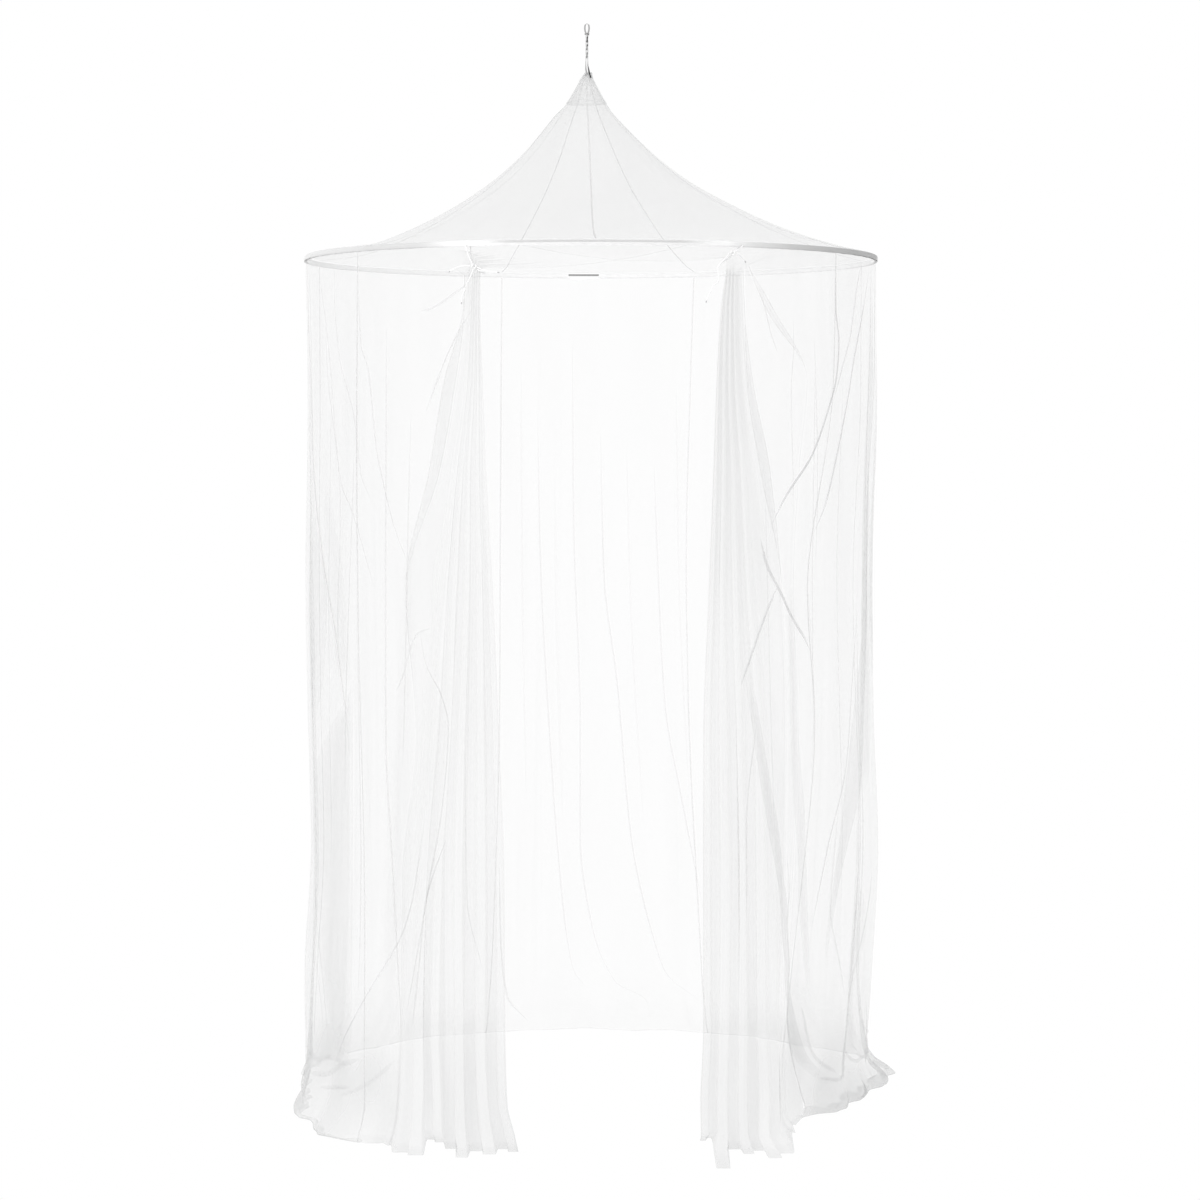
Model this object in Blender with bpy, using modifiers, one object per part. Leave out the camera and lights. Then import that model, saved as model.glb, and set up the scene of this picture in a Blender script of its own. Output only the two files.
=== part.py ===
"""A mosquito net canopy that hangs from one point: a tent-shaped roof of seven gores on a round hoop, with
walls that fall to the floor. The two front panels overlap at the front centre and are tied back to the hoop,
so each hangs as a swag, then as a pleated bundle. Metres, +Z up, the front towards -Y. The origin is the
point inside the eye of the hanging loop that a hook bears on. Heights are counted from the floor."""

import math

import bmesh
import bpy
from mathutils import Vector

DROP = 2.815  # from the hook down to the floor
AXIS_X = 0.0105  # the hoop hangs this far to the right of the hook
CLOTH = 0.001  # thickness of every sheet
SEAM_GAP = 0.0007  # between two sheets that are seamed edge to edge
ON_FLOOR = 0.0006  # height of a sheet's middle where it lies on the floor

HOOP_RADIUS = 0.750
HOOP_HEIGHT = 2.198
ROD_RADIUS = 0.003
RING_STEPS = 54
OPENING_BEARING = 95.1  # where the casing starts; it stops one step short of a full turn
CASING_TOP = HOOP_HEIGHT + 0.0049
CASING_BOTTOM = HOOP_HEIGHT - 0.0095
WALL_TOP = CASING_BOTTOM - 0.0007
ROOF_EDGE_RADIUS = 0.749
ROOF_EDGE_HEIGHT = CASING_TOP + 0.0010

# The casing's section round the rod: distance outwards, distance up.
CASING_SECTION = (
    (-0.0036, -0.0090),
    (-0.0042, -0.0020),
    (-0.0036, 0.0026),
    (0.0, 0.0044),
    (0.0036, 0.0026),
    (0.0042, -0.0020),
    (0.0036, -0.0090),
)

# The casing's loose end beside the bare length of rod: x from the axis, drop to its top, height of the tape.
LOOSE_END = (
    (-0.0659, 0.0065, 0.0020),
    (-0.0500, 0.0066, 0.0055),
    (-0.0360, 0.0066, 0.0080),
    (-0.0230, 0.0064, 0.0060),
    (-0.0110, 0.0060, 0.0025),
)
LOOSE_END_INSET = 0.0038
LOOSE_END_LEAN = 0.001

# The roof's line from the apex to the hoop. lean moves the whole ring sideways, skew makes it reach
# further on the right than on the left.
# height, radius, lean, skew
ROOF_LINE = (
    (2.6880, 0.0075, -0.0066, 0.000),
    (2.6670, 0.0173, -0.0107, 0.000),
    (2.6060, 0.0525, -0.0100, -0.002),
    (2.5690, 0.0850, -0.0080, -0.008),
    (2.4680, 0.1810, -0.0030, -0.004),
    (2.3960, 0.2705, -0.0010, 0.003),
    (2.3410, 0.3610, 0.0000, 0.013),
    (2.2960, 0.4475, 0.0000, 0.020),
    (2.2580, 0.5340, 0.0000, 0.028),
    (2.2300, 0.6150, 0.0000, 0.036),
    (2.2140, 0.6760, 0.0000, 0.032),
    (ROOF_EDGE_HEIGHT, ROOF_EDGE_RADIUS, 0.0000, 0.000),
)
GORE_SAG = 0.02  # a gore's middle lies this share inside its seams
GORE_COLUMNS = 7
CAP_ROWS = 3  # the cap covers the roof down to this row of ROOF_LINE
CAP_COLUMNS = 21
CAP_CLEARANCE = 0.0019
CAP_LIFT = 0.4  # how far up the clearance goes for each unit outwards

# Bearings in degrees, from +X towards +Y. The seams run from the apex over the hoop and down the walls.
# The front seam stops at the hoop.
# name, at the apex, at the hoop, and down the wall at 1.87, 1.35, 1.0, 0.3 and 0
SEAMS = {
    "right": (13.0, 14.0, (14.0, 14.0, 14.0, 14.0, 14.0)),
    "back_right": (64.0, 67.1, (68.2, 69.3, 69.0, 67.0, 66.0)),
    "back_left": (122.0, 110.0, (110.0, 110.0, 110.0, 111.0, 112.0)),
    "left": (168.0, 167.0, (167.0, 167.0, 167.0, 167.0, 167.0)),
    "front_left": (219.5, 219.5, (219.5, 220.6, 222.0, 226.5, 231.0)),
    "front": (269.3, 271.1, ()),
    "front_right": (325.0, 325.0, (323.4, 314.7, 317.0, 313.2, 322.5)),
}
SEAM_HEIGHTS = (WALL_TOP, 1.87, 1.35, 1.0, 0.3, 0.0)

# How far the hanging cloth stands from the hoop's axis.
REACH_HEIGHTS = (WALL_TOP, 1.87, 1.35, 1.0, 0.65, 0.3, 0.045, 0.0)
# bearing: radius at each of REACH_HEIGHTS
REACH = {
    -47.0: (0.750, 0.760, 0.765, 0.765, 0.750, 0.720, 0.680, 0.665),
    -35.0: (0.750, 0.757, 0.765, 0.760, 0.745, 0.725, 0.695, 0.680),
    -20.0: (0.750, 0.755, 0.755, 0.750, 0.745, 0.728, 0.715, 0.730),
    -8.0: (0.750, 0.750, 0.730, 0.735, 0.748, 0.732, 0.718, 0.724),
    2.0: (0.750, 0.747, 0.722, 0.733, 0.749, 0.732, 0.748, 0.790),
    14.0: (0.750, 0.750, 0.730, 0.740, 0.755, 0.745, 0.780, 0.850),
    45.0: (0.750, 0.760, 0.765, 0.770, 0.780, 0.795, 0.815, 0.835),
    90.0: (0.750, 0.760, 0.772, 0.780, 0.790, 0.803, 0.816, 0.823),
    135.0: (0.750, 0.758, 0.765, 0.770, 0.778, 0.790, 0.810, 0.830),
    165.0: (0.750, 0.750, 0.755, 0.752, 0.745, 0.765, 0.785, 0.808),
    180.0: (0.750, 0.745, 0.748, 0.742, 0.734, 0.752, 0.749, 0.755),
    197.0: (0.750, 0.748, 0.752, 0.750, 0.745, 0.760, 0.772, 0.785),
    212.0: (0.750, 0.752, 0.758, 0.760, 0.765, 0.785, 0.820, 0.842),
    222.0: (0.750, 0.754, 0.764, 0.770, 0.780, 0.810, 0.870, 0.915),
    232.0: (0.750, 0.756, 0.768, 0.775, 0.790, 0.820, 0.870, 0.905),
}

# The hung walls' main folds. A fold grows in from where it starts to its full depth FOLD_GROWTH lower.
# bearing at the hoop, bearing at the floor, height where it starts, depth (outwards is positive), half width
WALL_FOLDS = (
    (337.0, 331.0, 1.9, 0.018, 3.2),
    (347.0, 340.0, 1.9, -0.020, 3.2),
    (357.0, 352.0, 2.0, 0.014, 3.2),
    (6.0, 7.0, 1.6, -0.016, 3.0),
    (28.0, 30.0, 1.6, 0.018, 4.0),
    (42.0, 44.0, 1.5, -0.018, 4.0),
    (55.0, 57.0, 1.4, 0.015, 3.6),
    (79.0, 73.0, 1.1, 0.014, 3.2),
    (88.0, 82.0, 1.1, -0.016, 3.4),
    (98.0, 92.0, 1.2, 0.016, 3.4),
    (122.0, 124.0, 1.5, 0.016, 4.0),
    (137.0, 139.0, 1.6, -0.018, 4.0),
    (152.0, 154.0, 1.6, 0.018, 3.6),
    (178.0, 182.0, 2.0, 0.010, 3.4),
    (188.0, 193.0, 1.9, -0.016, 3.4),
    (198.0, 206.0, 1.9, 0.018, 3.4),
    (208.0, 219.0, 1.9, -0.014, 3.4),
)
FOLD_GROWTH = 0.6
WALL_ROWS = (WALL_TOP, 2.04, 1.87, 1.65, 1.35, 1.0, 0.65, 0.3, 0.12, 0.045, 0.0)
WALL_COLUMNS = 13
WALL_PANELS = {
    "wall_right": ("front_right", "right"),
    "wall_back_right": ("right", "back_right"),
    "wall_back": ("back_right", "back_left"),
    "wall_back_left": ("back_left", "left"),
    "wall_left": ("left", "front_left"),
}

# The front panels. Below the tie, each column of cloth is placed by its distance from the middle line
# towards its own side, at these heights and at the hem. The last of these rows is the hem's.
FRONT_ROWS = (2.04, 1.87, 1.65, 1.35, 1.0, 0.65, 0.3, 0.12, 0.045)
GATHER_REACH = (0.754, 0.757, 0.762, 0.768, 0.775, 0.790, 0.815, 0.835, 0.845)
PLEAT_DEPTH = (0.030, 0.034, 0.038, 0.042, 0.046, 0.050, 0.054, 0.050, 0.044)
# towards the hem the gathered cloth leaves the hoop's round for a straight line across the front
STRAIGHTENED = (0.0, 0.0, 0.0, 0.0, 0.0, 0.15, 0.4, 0.7, 0.9)
STRAIGHT_FRONT = -0.805
# between the layers of a fold that lies back over itself, at the tie and at FRONT_ROWS
FOLD_LAYER = (0.006, 0.006, 0.006, 0.006, 0.005, 0.0045, 0.004, 0.004, 0.004, 0.004)
RIBBON_STEP = 0.4  # degrees round the hoop between the columns of such a fold
SWAG_SHARES = (0.28, 0.56, 0.8)  # rows on the way from the hoop to the gather
TURN_SHARE = 0.92  # the flat part's row beside the gather's turn

FRONT_LEFT = {
    "side": -1,
    "seam": "front_left",
    "free_edge_bearing": 288.6,
    "gather_bearing": 241.0,
    "hoop_radius": 0.7537,
    "inset": 0.006,
    "swag_sag": 0.020,
    "tie_height": 2.135,
    "turn_rise": 0.040,  # from where the free edge turns down to where the outermost layer does
    "turn_lead": 0.010,
    "turn_drop": 0.018,
    "tie_edges": (0.292, 0.265),
    "tie_depth": 0.024,
    "outer_edge": (0.294, 0.307, 0.345, 0.378, 0.408, 0.450, 0.455, 0.460, 0.468),
    "free_edge": (0.265, 0.260, 0.250, 0.234, 0.225, 0.214, 0.208, 0.196, 0.180),
    # single folds: name, bearing at the hoop, at the tie, then at FRONT_ROWS, hem (x, y)
    "creases": (
        (226.0, 0.503, (0.503, 0.504, 0.504, 0.504, 0.500, 0.490, 0.492, 0.500, 0.512), (0.530, -0.715)),
        (235.0, 0.400, (0.410, 0.430, 0.460, 0.480, 0.472, 0.476, 0.480, 0.486, 0.494), (0.509, -0.712)),
    ),
    # the fold that lies back over itself: its outer edge as above, then how wide it is at the tie and below
    "ribbons": (
        (
            238.0,
            0.306,
            (0.310, 0.356, 0.395, 0.456, 0.428, 0.463, 0.467, 0.472, 0.480),
            0.005,
            (0.009, 0.041, 0.041, 0.008, 0.003, 0.003, 0.003, 0.003, 0.003),
            (0.492, -0.735),
        ),
    ),
    # pleats from the outer edge to the free edge: share of the bundle, depth, then at the hem x from and to,
    # y behind and in front, and height
    "pleats": (
        (0.22, 1.0, 0.476, 0.402, -0.815, -0.845, 0.0),
        (0.17, 0.8, 0.396, 0.356, -0.760, -0.790, 0.020),
        (0.20, 1.1, 0.350, 0.294, -0.775, -0.870, 0.0),
        (0.22, 0.9, 0.289, 0.228, -0.800, -0.835, 0.0),
        (0.19, 1.0, 0.223, 0.173, -0.778, -0.808, 0.0),
    ),
}
FRONT_RIGHT = {
    "side": 1,
    "seam": "front_right",
    "free_edge_bearing": 256.7,
    "gather_bearing": 304.0,
    "hoop_radius": 0.7463,
    "inset": 0.018,
    "swag_sag": 0.022,
    "tie_height": 2.160,
    "turn_rise": 0.0180,
    "turn_lead": 0.006,
    "turn_drop": 0.014,
    "tie_edges": (0.358, 0.330),
    "tie_depth": 0.024,
    "outer_edge": (0.360, 0.368, 0.394, 0.416, 0.444, 0.460, 0.460, 0.460, 0.462),
    "free_edge": (0.317, 0.307, 0.298, 0.284, 0.268, 0.265, 0.264, 0.264, 0.266),
    "creases": (),
    "ribbons": (
        (
            313.0,
            0.388,
            (0.452, 0.538, 0.517, 0.502, 0.517, 0.503, 0.483, 0.484, 0.487),
            0.005,
            (0.033, 0.003, 0.003, 0.003, 0.003, 0.003, 0.003, 0.003, 0.003),
            (0.513, -0.500),
        ),
        (
            308.0,
            0.374,
            (0.378, 0.398, 0.442, 0.473, 0.485, 0.483, 0.471, 0.471, 0.475),
            0.005,
            (0.006, 0.024, 0.038, 0.003, 0.003, 0.003, 0.003, 0.003, 0.003),
            (0.506, -0.590),
        ),
    ),
    "pleats": (
        (0.28, 1.0, 0.490, 0.430, -0.825, -0.875, 0.0),
        (0.24, 1.1, 0.420, 0.372, -0.795, -0.830, 0.0),
        (0.26, 0.9, 0.364, 0.300, -0.780, -0.985, 0.0),
        (0.22, 1.0, 0.294, 0.266, -0.760, -0.790, 0.024),
    ),
}

# The hanging loop, in heights below the hook.
LOOP_WIDTH = 0.0045
LOOP_LEG_OFFSET = 0.0024
EYE_HALF = (
    (0.0024, -0.0260),
    (0.0048, -0.0180),
    (0.0056, -0.0110),
    (0.0050, -0.0045),
    (0.0028, -0.0008),
)
LOOP_KNOT_DROP = 0.0265
LOOP_KNOT_RADIUS = 0.0051
LOOP_KNOT_TURN = 0.0010  # half the thickness of the tape's turn round the legs
LOOP_KNOT_STRETCH = 2.2  # a turn's height against its thickness
TWIST_FROM, TWIST_TO = -0.030, -0.092
TWIST_TURNS = 1.5
TWIST_STEPS = 12
# Each leg's last points, x, y and z, with the direction across the tape there.
LEG_ENDS = (
    (
        ((0.0025, -0.0045, -0.1080), (-0.50, -0.87)),
        ((0.0045, -0.0088, -0.1200), (-0.90, -0.43)),
        ((0.0072, -0.0133, -0.1320), (-0.96, -0.29)),
        ((0.0107, -0.0169, -0.1430), (-0.87, -0.49)),
    ),
    (
        ((-0.0030, -0.0055, -0.1080), (0.50, -0.87)),
        ((-0.0028, -0.0092, -0.1180), (0.83, -0.56)),
        ((-0.0010, -0.0121, -0.1290), (0.95, -0.32)),
        ((-0.0030, -0.0158, -0.1370), (0.95, -0.32)),
    ),
)

# The ties. Every point is x from the hoop's axis, distance from that axis, and height.
TIE_DIAMETER = 0.0034
END_DIAMETER = 0.0030
TIE_SLINGS = {
    "tie_left": (
        (-0.3020, 0.7557, 2.1930),
        (-0.2990, 0.7600, 2.1820),
        (-0.2950, 0.7650, 2.1680),
        (-0.2880, 0.7680, 2.1520),
        (-0.2805, 0.7683, 2.1380),
        (-0.2690, 0.7690, 2.1290),
        (-0.2590, 0.7670, 2.1255),
        (-0.2552, 0.7600, 2.1240),
        (-0.2550, 0.7450, 2.1240),
        (-0.2600, 0.7350, 2.1255),
        (-0.2720, 0.7300, 2.1310),
        (-0.2830, 0.7290, 2.1440),
        (-0.2880, 0.7300, 2.1600),
        (-0.2900, 0.7360, 2.1780),
        (-0.2900, 0.7424, 2.1930),
    ),
    "tie_right": (
        (0.3725, 0.7557, 2.1930),
        (0.3640, 0.7600, 2.1850),
        (0.3540, 0.7660, 2.1780),
        (0.3450, 0.7683, 2.1725),
        (0.3350, 0.7695, 2.1625),
        (0.3250, 0.7680, 2.1560),
        (0.3215, 0.7610, 2.1520),
        (0.3215, 0.7450, 2.1510),
        (0.3250, 0.7350, 2.1545),
        (0.3360, 0.7290, 2.1620),
        (0.3470, 0.7280, 2.1720),
        (0.3540, 0.7300, 2.1790),
        (0.3600, 0.7360, 2.1860),
        (0.3640, 0.7420, 2.1935),
    ),
}
KNOTS = {
    "tie_left_knot": (-0.2805, 0.7749, 2.1380),
    "tie_right_knot": (0.3450, 0.7749, 2.1725),
}
KNOT_SIZE = (0.0075, 0.0045, 0.0060)
TIE_ENDS = {
    "tie_left_end_outer": (
        (-0.2884, 0.7778, 2.1385),
        (-0.2960, 0.7790, 2.1400),
        (-0.3083, 0.7765, 2.1395),
        (-0.3254, 0.7755, 2.1355),
        (-0.3424, 0.7745, 2.1260),
    ),
    "tie_left_end_inner": (
        (-0.2726, 0.7721, 2.1365),
        (-0.2573, 0.7760, 2.1290),
        (-0.2400, 0.7780, 2.1250),
        (-0.2185, 0.7775, 2.1220),
    ),
    "tie_left_end_low": (
        (-0.2820, 0.7755, 2.1314),
        (-0.2870, 0.7790, 2.1180),
        (-0.2938, 0.7800, 2.1035),
        (-0.3005, 0.7805, 2.0890),
        (-0.3059, 0.7805, 2.0750),
        (-0.3092, 0.7805, 2.0620),
        (-0.3108, 0.7800, 2.0480),
    ),
    "tie_right_end_low": (
        (0.3366, 0.7716, 2.1715),
        (0.3310, 0.7750, 2.1640),
        (0.3240, 0.7775, 2.1550),
        (0.3130, 0.7780, 2.1440),
        (0.3080, 0.7780, 2.1340),
        (0.3105, 0.7775, 2.1220),
        (0.3110, 0.7770, 2.1110),
        (0.3075, 0.7770, 2.1000),
        (0.2980, 0.7770, 2.0930),
        (0.2900, 0.7770, 2.0770),
        (0.2840, 0.7765, 2.0640),
        (0.2796, 0.7760, 2.0510),
    ),
    "tie_right_end_outer": (
        (0.3529, 0.7786, 2.1715),
        (0.3600, 0.7790, 2.1690),
        (0.3670, 0.7760, 2.1640),
        (0.3730, 0.7755, 2.1575),
        (0.3780, 0.7750, 2.1500),
    ),
}
END_POINT_SPACING = 0.007

MATERIALS = {
    "net": ((0.90, 0.90, 0.90), 0.75, 0.0),
    "casing tape": ((0.80, 0.80, 0.80), 0.70, 0.0),
    "hoop rod": ((0.45, 0.46, 0.47), 0.40, 0.0),
    "loop tape": ((0.62, 0.62, 0.62), 0.70, 0.0),
    "tie string": ((0.72, 0.72, 0.72), 0.75, 0.0),
}


def start_scene():
    """Empty the scene and return the collection that the canopy goes in."""
    for old in list(bpy.data.objects):
        bpy.data.objects.remove(old, do_unlink=True)
    canopy = bpy.data.collections.new("mosquito_net_canopy")
    bpy.context.scene.collection.children.link(canopy)
    return canopy


def material(name):
    found = bpy.data.materials.get(name)
    if found:
        return found
    colour, roughness, metallic = MATERIALS[name]
    made = bpy.data.materials.new(name)
    made.use_nodes = True
    shader = made.node_tree.nodes["Principled BSDF"]
    shader.inputs["Base Color"].default_value = (*colour, 1.0)
    shader.inputs["Roughness"].default_value = roughness
    shader.inputs["Metallic"].default_value = metallic
    return made


def place(x, y, height):
    """A point given from the hoop's axis and the floor, in the part's own frame."""
    return Vector((x + AXIS_X, y, height - DROP))


def hung(x, radius, height):
    """A point in front of the hoop's axis, by its x, its distance from the axis and its height."""
    return place(x, -math.sqrt(radius**2 - x**2), height)


def polar(bearing, radius):
    angle = math.radians(bearing)
    return radius * math.cos(angle), radius * math.sin(angle)


def between(keys, values, key):
    """The value at key on straight lines through the keys, which may rise or fall."""
    rising = keys[-1] > keys[0]
    for left in range(len(keys) - 1):
        low, high = keys[left], keys[left + 1]
        inside = low <= key <= high if rising else high <= key <= low
        if inside:
            share = (key - low) / (high - low)
            return values[left] + share * (values[left + 1] - values[left])
    first_is_nearer = abs(key - keys[0]) < abs(key - keys[-1])
    return values[0] if first_is_nearer else values[-1]


def cloth(canopy, name, rows, stuff="net", closed=False):
    """A sheet through a grid of points, thickened to both sides. closed joins the last column to the first."""
    mesh = bpy.data.meshes.new(name)
    width = len(rows[0])
    points = [point for row in rows for point in row]
    last = width if closed else width - 1
    faces = []
    for row in range(len(rows) - 1):
        for column in range(last):
            here = row * width + column
            beside = row * width + (column + 1) % width
            # the shorter diagonal, so that both faces of the sheet bend along the same line
            falling = (points[here] - points[beside + width]).length
            rising = (points[beside] - points[here + width]).length
            if falling <= rising:
                faces.append((here, beside, beside + width))
                faces.append((here, beside + width, here + width))
            else:
                faces.append((here, beside, here + width))
                faces.append((beside, beside + width, here + width))
    mesh.from_pydata(points, [], faces)
    mesh.shade_smooth()
    mesh.materials.append(material(stuff))
    sheet = bpy.data.objects.new(name, mesh)
    canopy.objects.link(sheet)
    thicken = sheet.modifiers.new("Thickness", "SOLIDIFY")
    thicken.thickness = CLOTH
    thicken.offset = 0.0
    return sheet


def tube(canopy, name, points, diameter, stuff="tie string"):
    """A round string through the points."""
    curve = bpy.data.curves.new(name, "CURVE")
    curve.dimensions = "3D"
    curve.bevel_depth = diameter / 2
    curve.bevel_resolution = 2
    curve.use_fill_caps = True
    spline = curve.splines.new("POLY")
    spline.points.add(len(points) - 1)
    for spot, point in zip(spline.points, points):
        spot.co = (*point, 1.0)
    curve.materials.append(material(stuff))
    string = bpy.data.objects.new(name, curve)
    canopy.objects.link(string)
    return string


def smooth_route(points, spacing):
    """Points about spacing apart on a Catmull-Rom curve through the given ones."""
    ends = [points[0] * 2 - points[1], *points, points[-1] * 2 - points[-2]]
    route = []
    for before, start, end, after in zip(ends, ends[1:], ends[2:], ends[3:]):
        steps = max(1, round((end - start).length / spacing))
        for step in range(steps):
            t = step / steps
            route.append(
                0.5
                * (
                    2 * start
                    + (end - before) * t
                    + (2 * before - 5 * start + 4 * end - after) * t**2
                    + (3 * start - before - 3 * end + after) * t**3
                )
            )
    return [*route, points[-1]]


def seam_bearing(name, height):
    _, at_hoop, down = SEAMS[name]
    return between(SEAM_HEIGHTS, (at_hoop, *down), height)


def reach(bearing, height):
    """Distance of the hanging cloth from the axis, rounded smoothly between the bearings of REACH."""
    spots = sorted(REACH)
    bearing = (bearing - spots[0]) % 360.0 + spots[0]
    radii = [between(REACH_HEIGHTS, REACH[spot], height) for spot in spots]
    spots.append(spots[0] + 360.0)
    radii.append(radii[0])
    for left in range(len(spots) - 1):
        if spots[left] <= bearing <= spots[left + 1]:
            share = (bearing - spots[left]) / (spots[left + 1] - spots[left])
            eased = share * share * (3 - 2 * share)
            return radii[left] + eased * (radii[left + 1] - radii[left])
    return radii[0]


def fold_offset(bearing, height):
    """How far the main folds carry the cloth outwards here."""
    offset = 0.0
    for at_hoop, at_floor, start, depth, half_width in WALL_FOLDS:
        middle = at_floor + (at_hoop - at_floor) * height / WALL_TOP
        away = (bearing - middle + 180.0) % 360.0 - 180.0
        grown = min(max((start - height) / FOLD_GROWTH, 0.0), 1.0)
        offset += depth * grown * math.exp(-((away / half_width) ** 2))
    return offset


def wall_point(bearing, height):
    radius = reach(bearing, height) + fold_offset(bearing, height)
    return place(*polar(bearing, radius), max(height, ON_FLOOR))


def wall_panel(canopy, name, from_seam, to_seam):
    """A hung panel between two seams, which go round anticlockwise seen from above."""
    rows = []
    for height in WALL_ROWS:
        start = seam_bearing(from_seam, height)
        end = seam_bearing(to_seam, height)
        end += 360.0 if end < start else 0.0
        half_gap = math.degrees(SEAM_GAP / 2 / HOOP_RADIUS)
        span = (start + half_gap, end - half_gap)
        bearings = [span[0] + (span[1] - span[0]) * i / (WALL_COLUMNS - 1) for i in range(WALL_COLUMNS)]
        rows.append([wall_point(bearing, height) for bearing in bearings])
    cloth(canopy, name, rows)


def roof_point(bearing, line, sag=0.0, clearance=0.0):
    height, radius, lean, skew = line
    spread = (radius + skew * math.cos(math.radians(bearing))) * (1.0 - sag) + clearance
    x, y = polar(bearing, spread)
    return place(x + lean, y, height + clearance * CAP_LIFT)


def roof_gore(canopy, number, from_seam, to_seam):
    """One gore, from the apex to the casing, a little hollow between its seams."""
    rows = []
    for level, line in enumerate(ROOF_LINE):
        down = level / (len(ROOF_LINE) - 1)
        start = SEAMS[from_seam][0] + (SEAMS[from_seam][1] - SEAMS[from_seam][0]) * down
        end = SEAMS[to_seam][0] + (SEAMS[to_seam][1] - SEAMS[to_seam][0]) * down
        end += 360.0 if end < start else 0.0
        half_gap = math.degrees(SEAM_GAP / 2 / line[1])
        start, end = start + half_gap, end - half_gap
        row = []
        for column in range(GORE_COLUMNS):
            share = column / (GORE_COLUMNS - 1)
            sag = GORE_SAG * math.sin(math.pi * share) * math.sin(math.pi * down)
            row.append(roof_point(start + (end - start) * share, line, sag))
        rows.append(row)
    cloth(canopy, f"roof_gore_{number}", rows)


def roof_cap(canopy):
    bearings = [360.0 * column / CAP_COLUMNS for column in range(CAP_COLUMNS)]
    rows = []
    for line in ROOF_LINE[:CAP_ROWS]:
        rows.append([roof_point(bearing, line, clearance=CAP_CLEARANCE) for bearing in bearings])
    cloth(canopy, "roof_cap", rows, closed=True)


def hoop(canopy):
    bpy.ops.mesh.primitive_torus_add(
        major_radius=HOOP_RADIUS,
        minor_radius=ROD_RADIUS,
        major_segments=RING_STEPS,
        minor_segments=6,
        location=place(0.0, 0.0, HOOP_HEIGHT),
        rotation=(0.0, 0.0, math.radians(OPENING_BEARING)),
    )
    rod = bpy.context.object
    rod.name = "hoop_rod"
    rod.data.shade_smooth()
    rod.data.materials.append(material("hoop rod"))
    for other in list(rod.users_collection):
        other.objects.unlink(rod)
    canopy.objects.link(rod)


def hoop_casing(canopy):
    """The channel round the rod. It leaves one step of the ring bare at the back."""
    rows = []
    for step in range(RING_STEPS):
        bearing = OPENING_BEARING + 360.0 * step / RING_STEPS
        rows.append(
            [place(*polar(bearing, HOOP_RADIUS + out), HOOP_HEIGHT + up) for out, up in CASING_SECTION]
        )
    cloth(canopy, "hoop_casing", rows, "casing tape", closed=True)
    middle = LOOSE_END[len(LOOSE_END) // 2][0]
    depth = math.sqrt(HOOP_RADIUS**2 - middle**2) - LOOSE_END_INSET
    upper = []
    lower = []
    for x, drop, tape_height in LOOSE_END:
        upper.append(place(x, depth, HOOP_HEIGHT - drop))
        lower.append(place(x, depth - LOOSE_END_LEAN, HOOP_HEIGHT - drop - tape_height))
    cloth(canopy, "casing_flap", [upper, lower], "casing tape")


def front_columns(panel):
    """The columns of a front panel's flat part, from its seam to the gather. Each has its bearing on the hoop,
    its share of the way to the gather, its places at the tie, below it and at the hem. Inside a fold, across is
    how far it lies from the fold's outer edge at each of those, and layer which layer it is in."""
    columns = []
    groups = len(panel["creases"]) + len(panel["ribbons"]) + 1
    flat = [0.0] * (len(FRONT_ROWS) + 2)
    for number, (bearing, tie_x, xs, hem) in enumerate(panel["creases"]):
        share = (number + 1) / groups
        columns.append((bearing, share, (tie_x, *xs), hem, flat, 0.0))
    for number, (bearing, tie_x, xs, tie_width, widths, hem) in enumerate(panel["ribbons"]):
        share = (len(panel["creases"]) + number + 1) / groups
        # front layer inwards, middle layer back outwards, rear layer inwards again
        steps = ((0, -1.0), (1, -1.0), (1, -0.35), (0, 0.35), (0, 1.0), (1, 1.0))
        for order, (inner, layer) in enumerate(steps):
            across = [inner * width for width in (tie_width, *widths, widths[-1])]
            on_hoop = bearing - panel["side"] * RIBBON_STEP * order
            columns.append((on_hoop, share, (tie_x, *xs), hem, across, layer))
    return columns


def gathered_point(side, x, row):
    """The middle of the gathered cloth at one of FRONT_ROWS."""
    spot = hung(side * x, GATHER_REACH[row], FRONT_ROWS[row])
    spot.y += (STRAIGHT_FRONT - spot.y) * STRAIGHTENED[row]
    return spot


def fold_shift(start, end, side, across, depth):
    """Along the cloth's way from start to end by across, and back into the net by depth."""
    along = Vector((end.x - start.x, end.y - start.y, 0.0)).normalized()
    return along * across + Vector((along.y, -along.x, 0.0)) * side * depth


def pleat_columns(panel):
    """Four columns a pleat: across the back, then across the front."""
    total = sum(row[0] for row in panel["pleats"])
    columns = []
    passed = 0.0
    for share, depth, hem_from, hem_to, hem_behind, hem_in_front, hem_height in panel["pleats"]:
        hem_middle = (hem_from + hem_to) / 2
        # share of the pleat at the hoop, then from the tie down, then behind or in front
        places = (
            (0.06, 0.0, 1, hem_from),
            (0.44, 0.5, 1, hem_middle),
            (0.56, 0.5, -1, hem_middle),
            (0.94, 1.0, -1, hem_to),
        )
        for at_hoop, part, front_or_back, hem_x in places:
            columns.append(
                {
                    "hoop": (passed + share * at_hoop) / total,
                    "gather": (passed + share * part) / total,
                    "face": front_or_back,
                    "depth": depth,
                    "hem": (hem_x, hem_behind if front_or_back > 0 else hem_in_front),
                    "hem_height": hem_height,
                }
            )
        passed += share
    return columns


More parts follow.
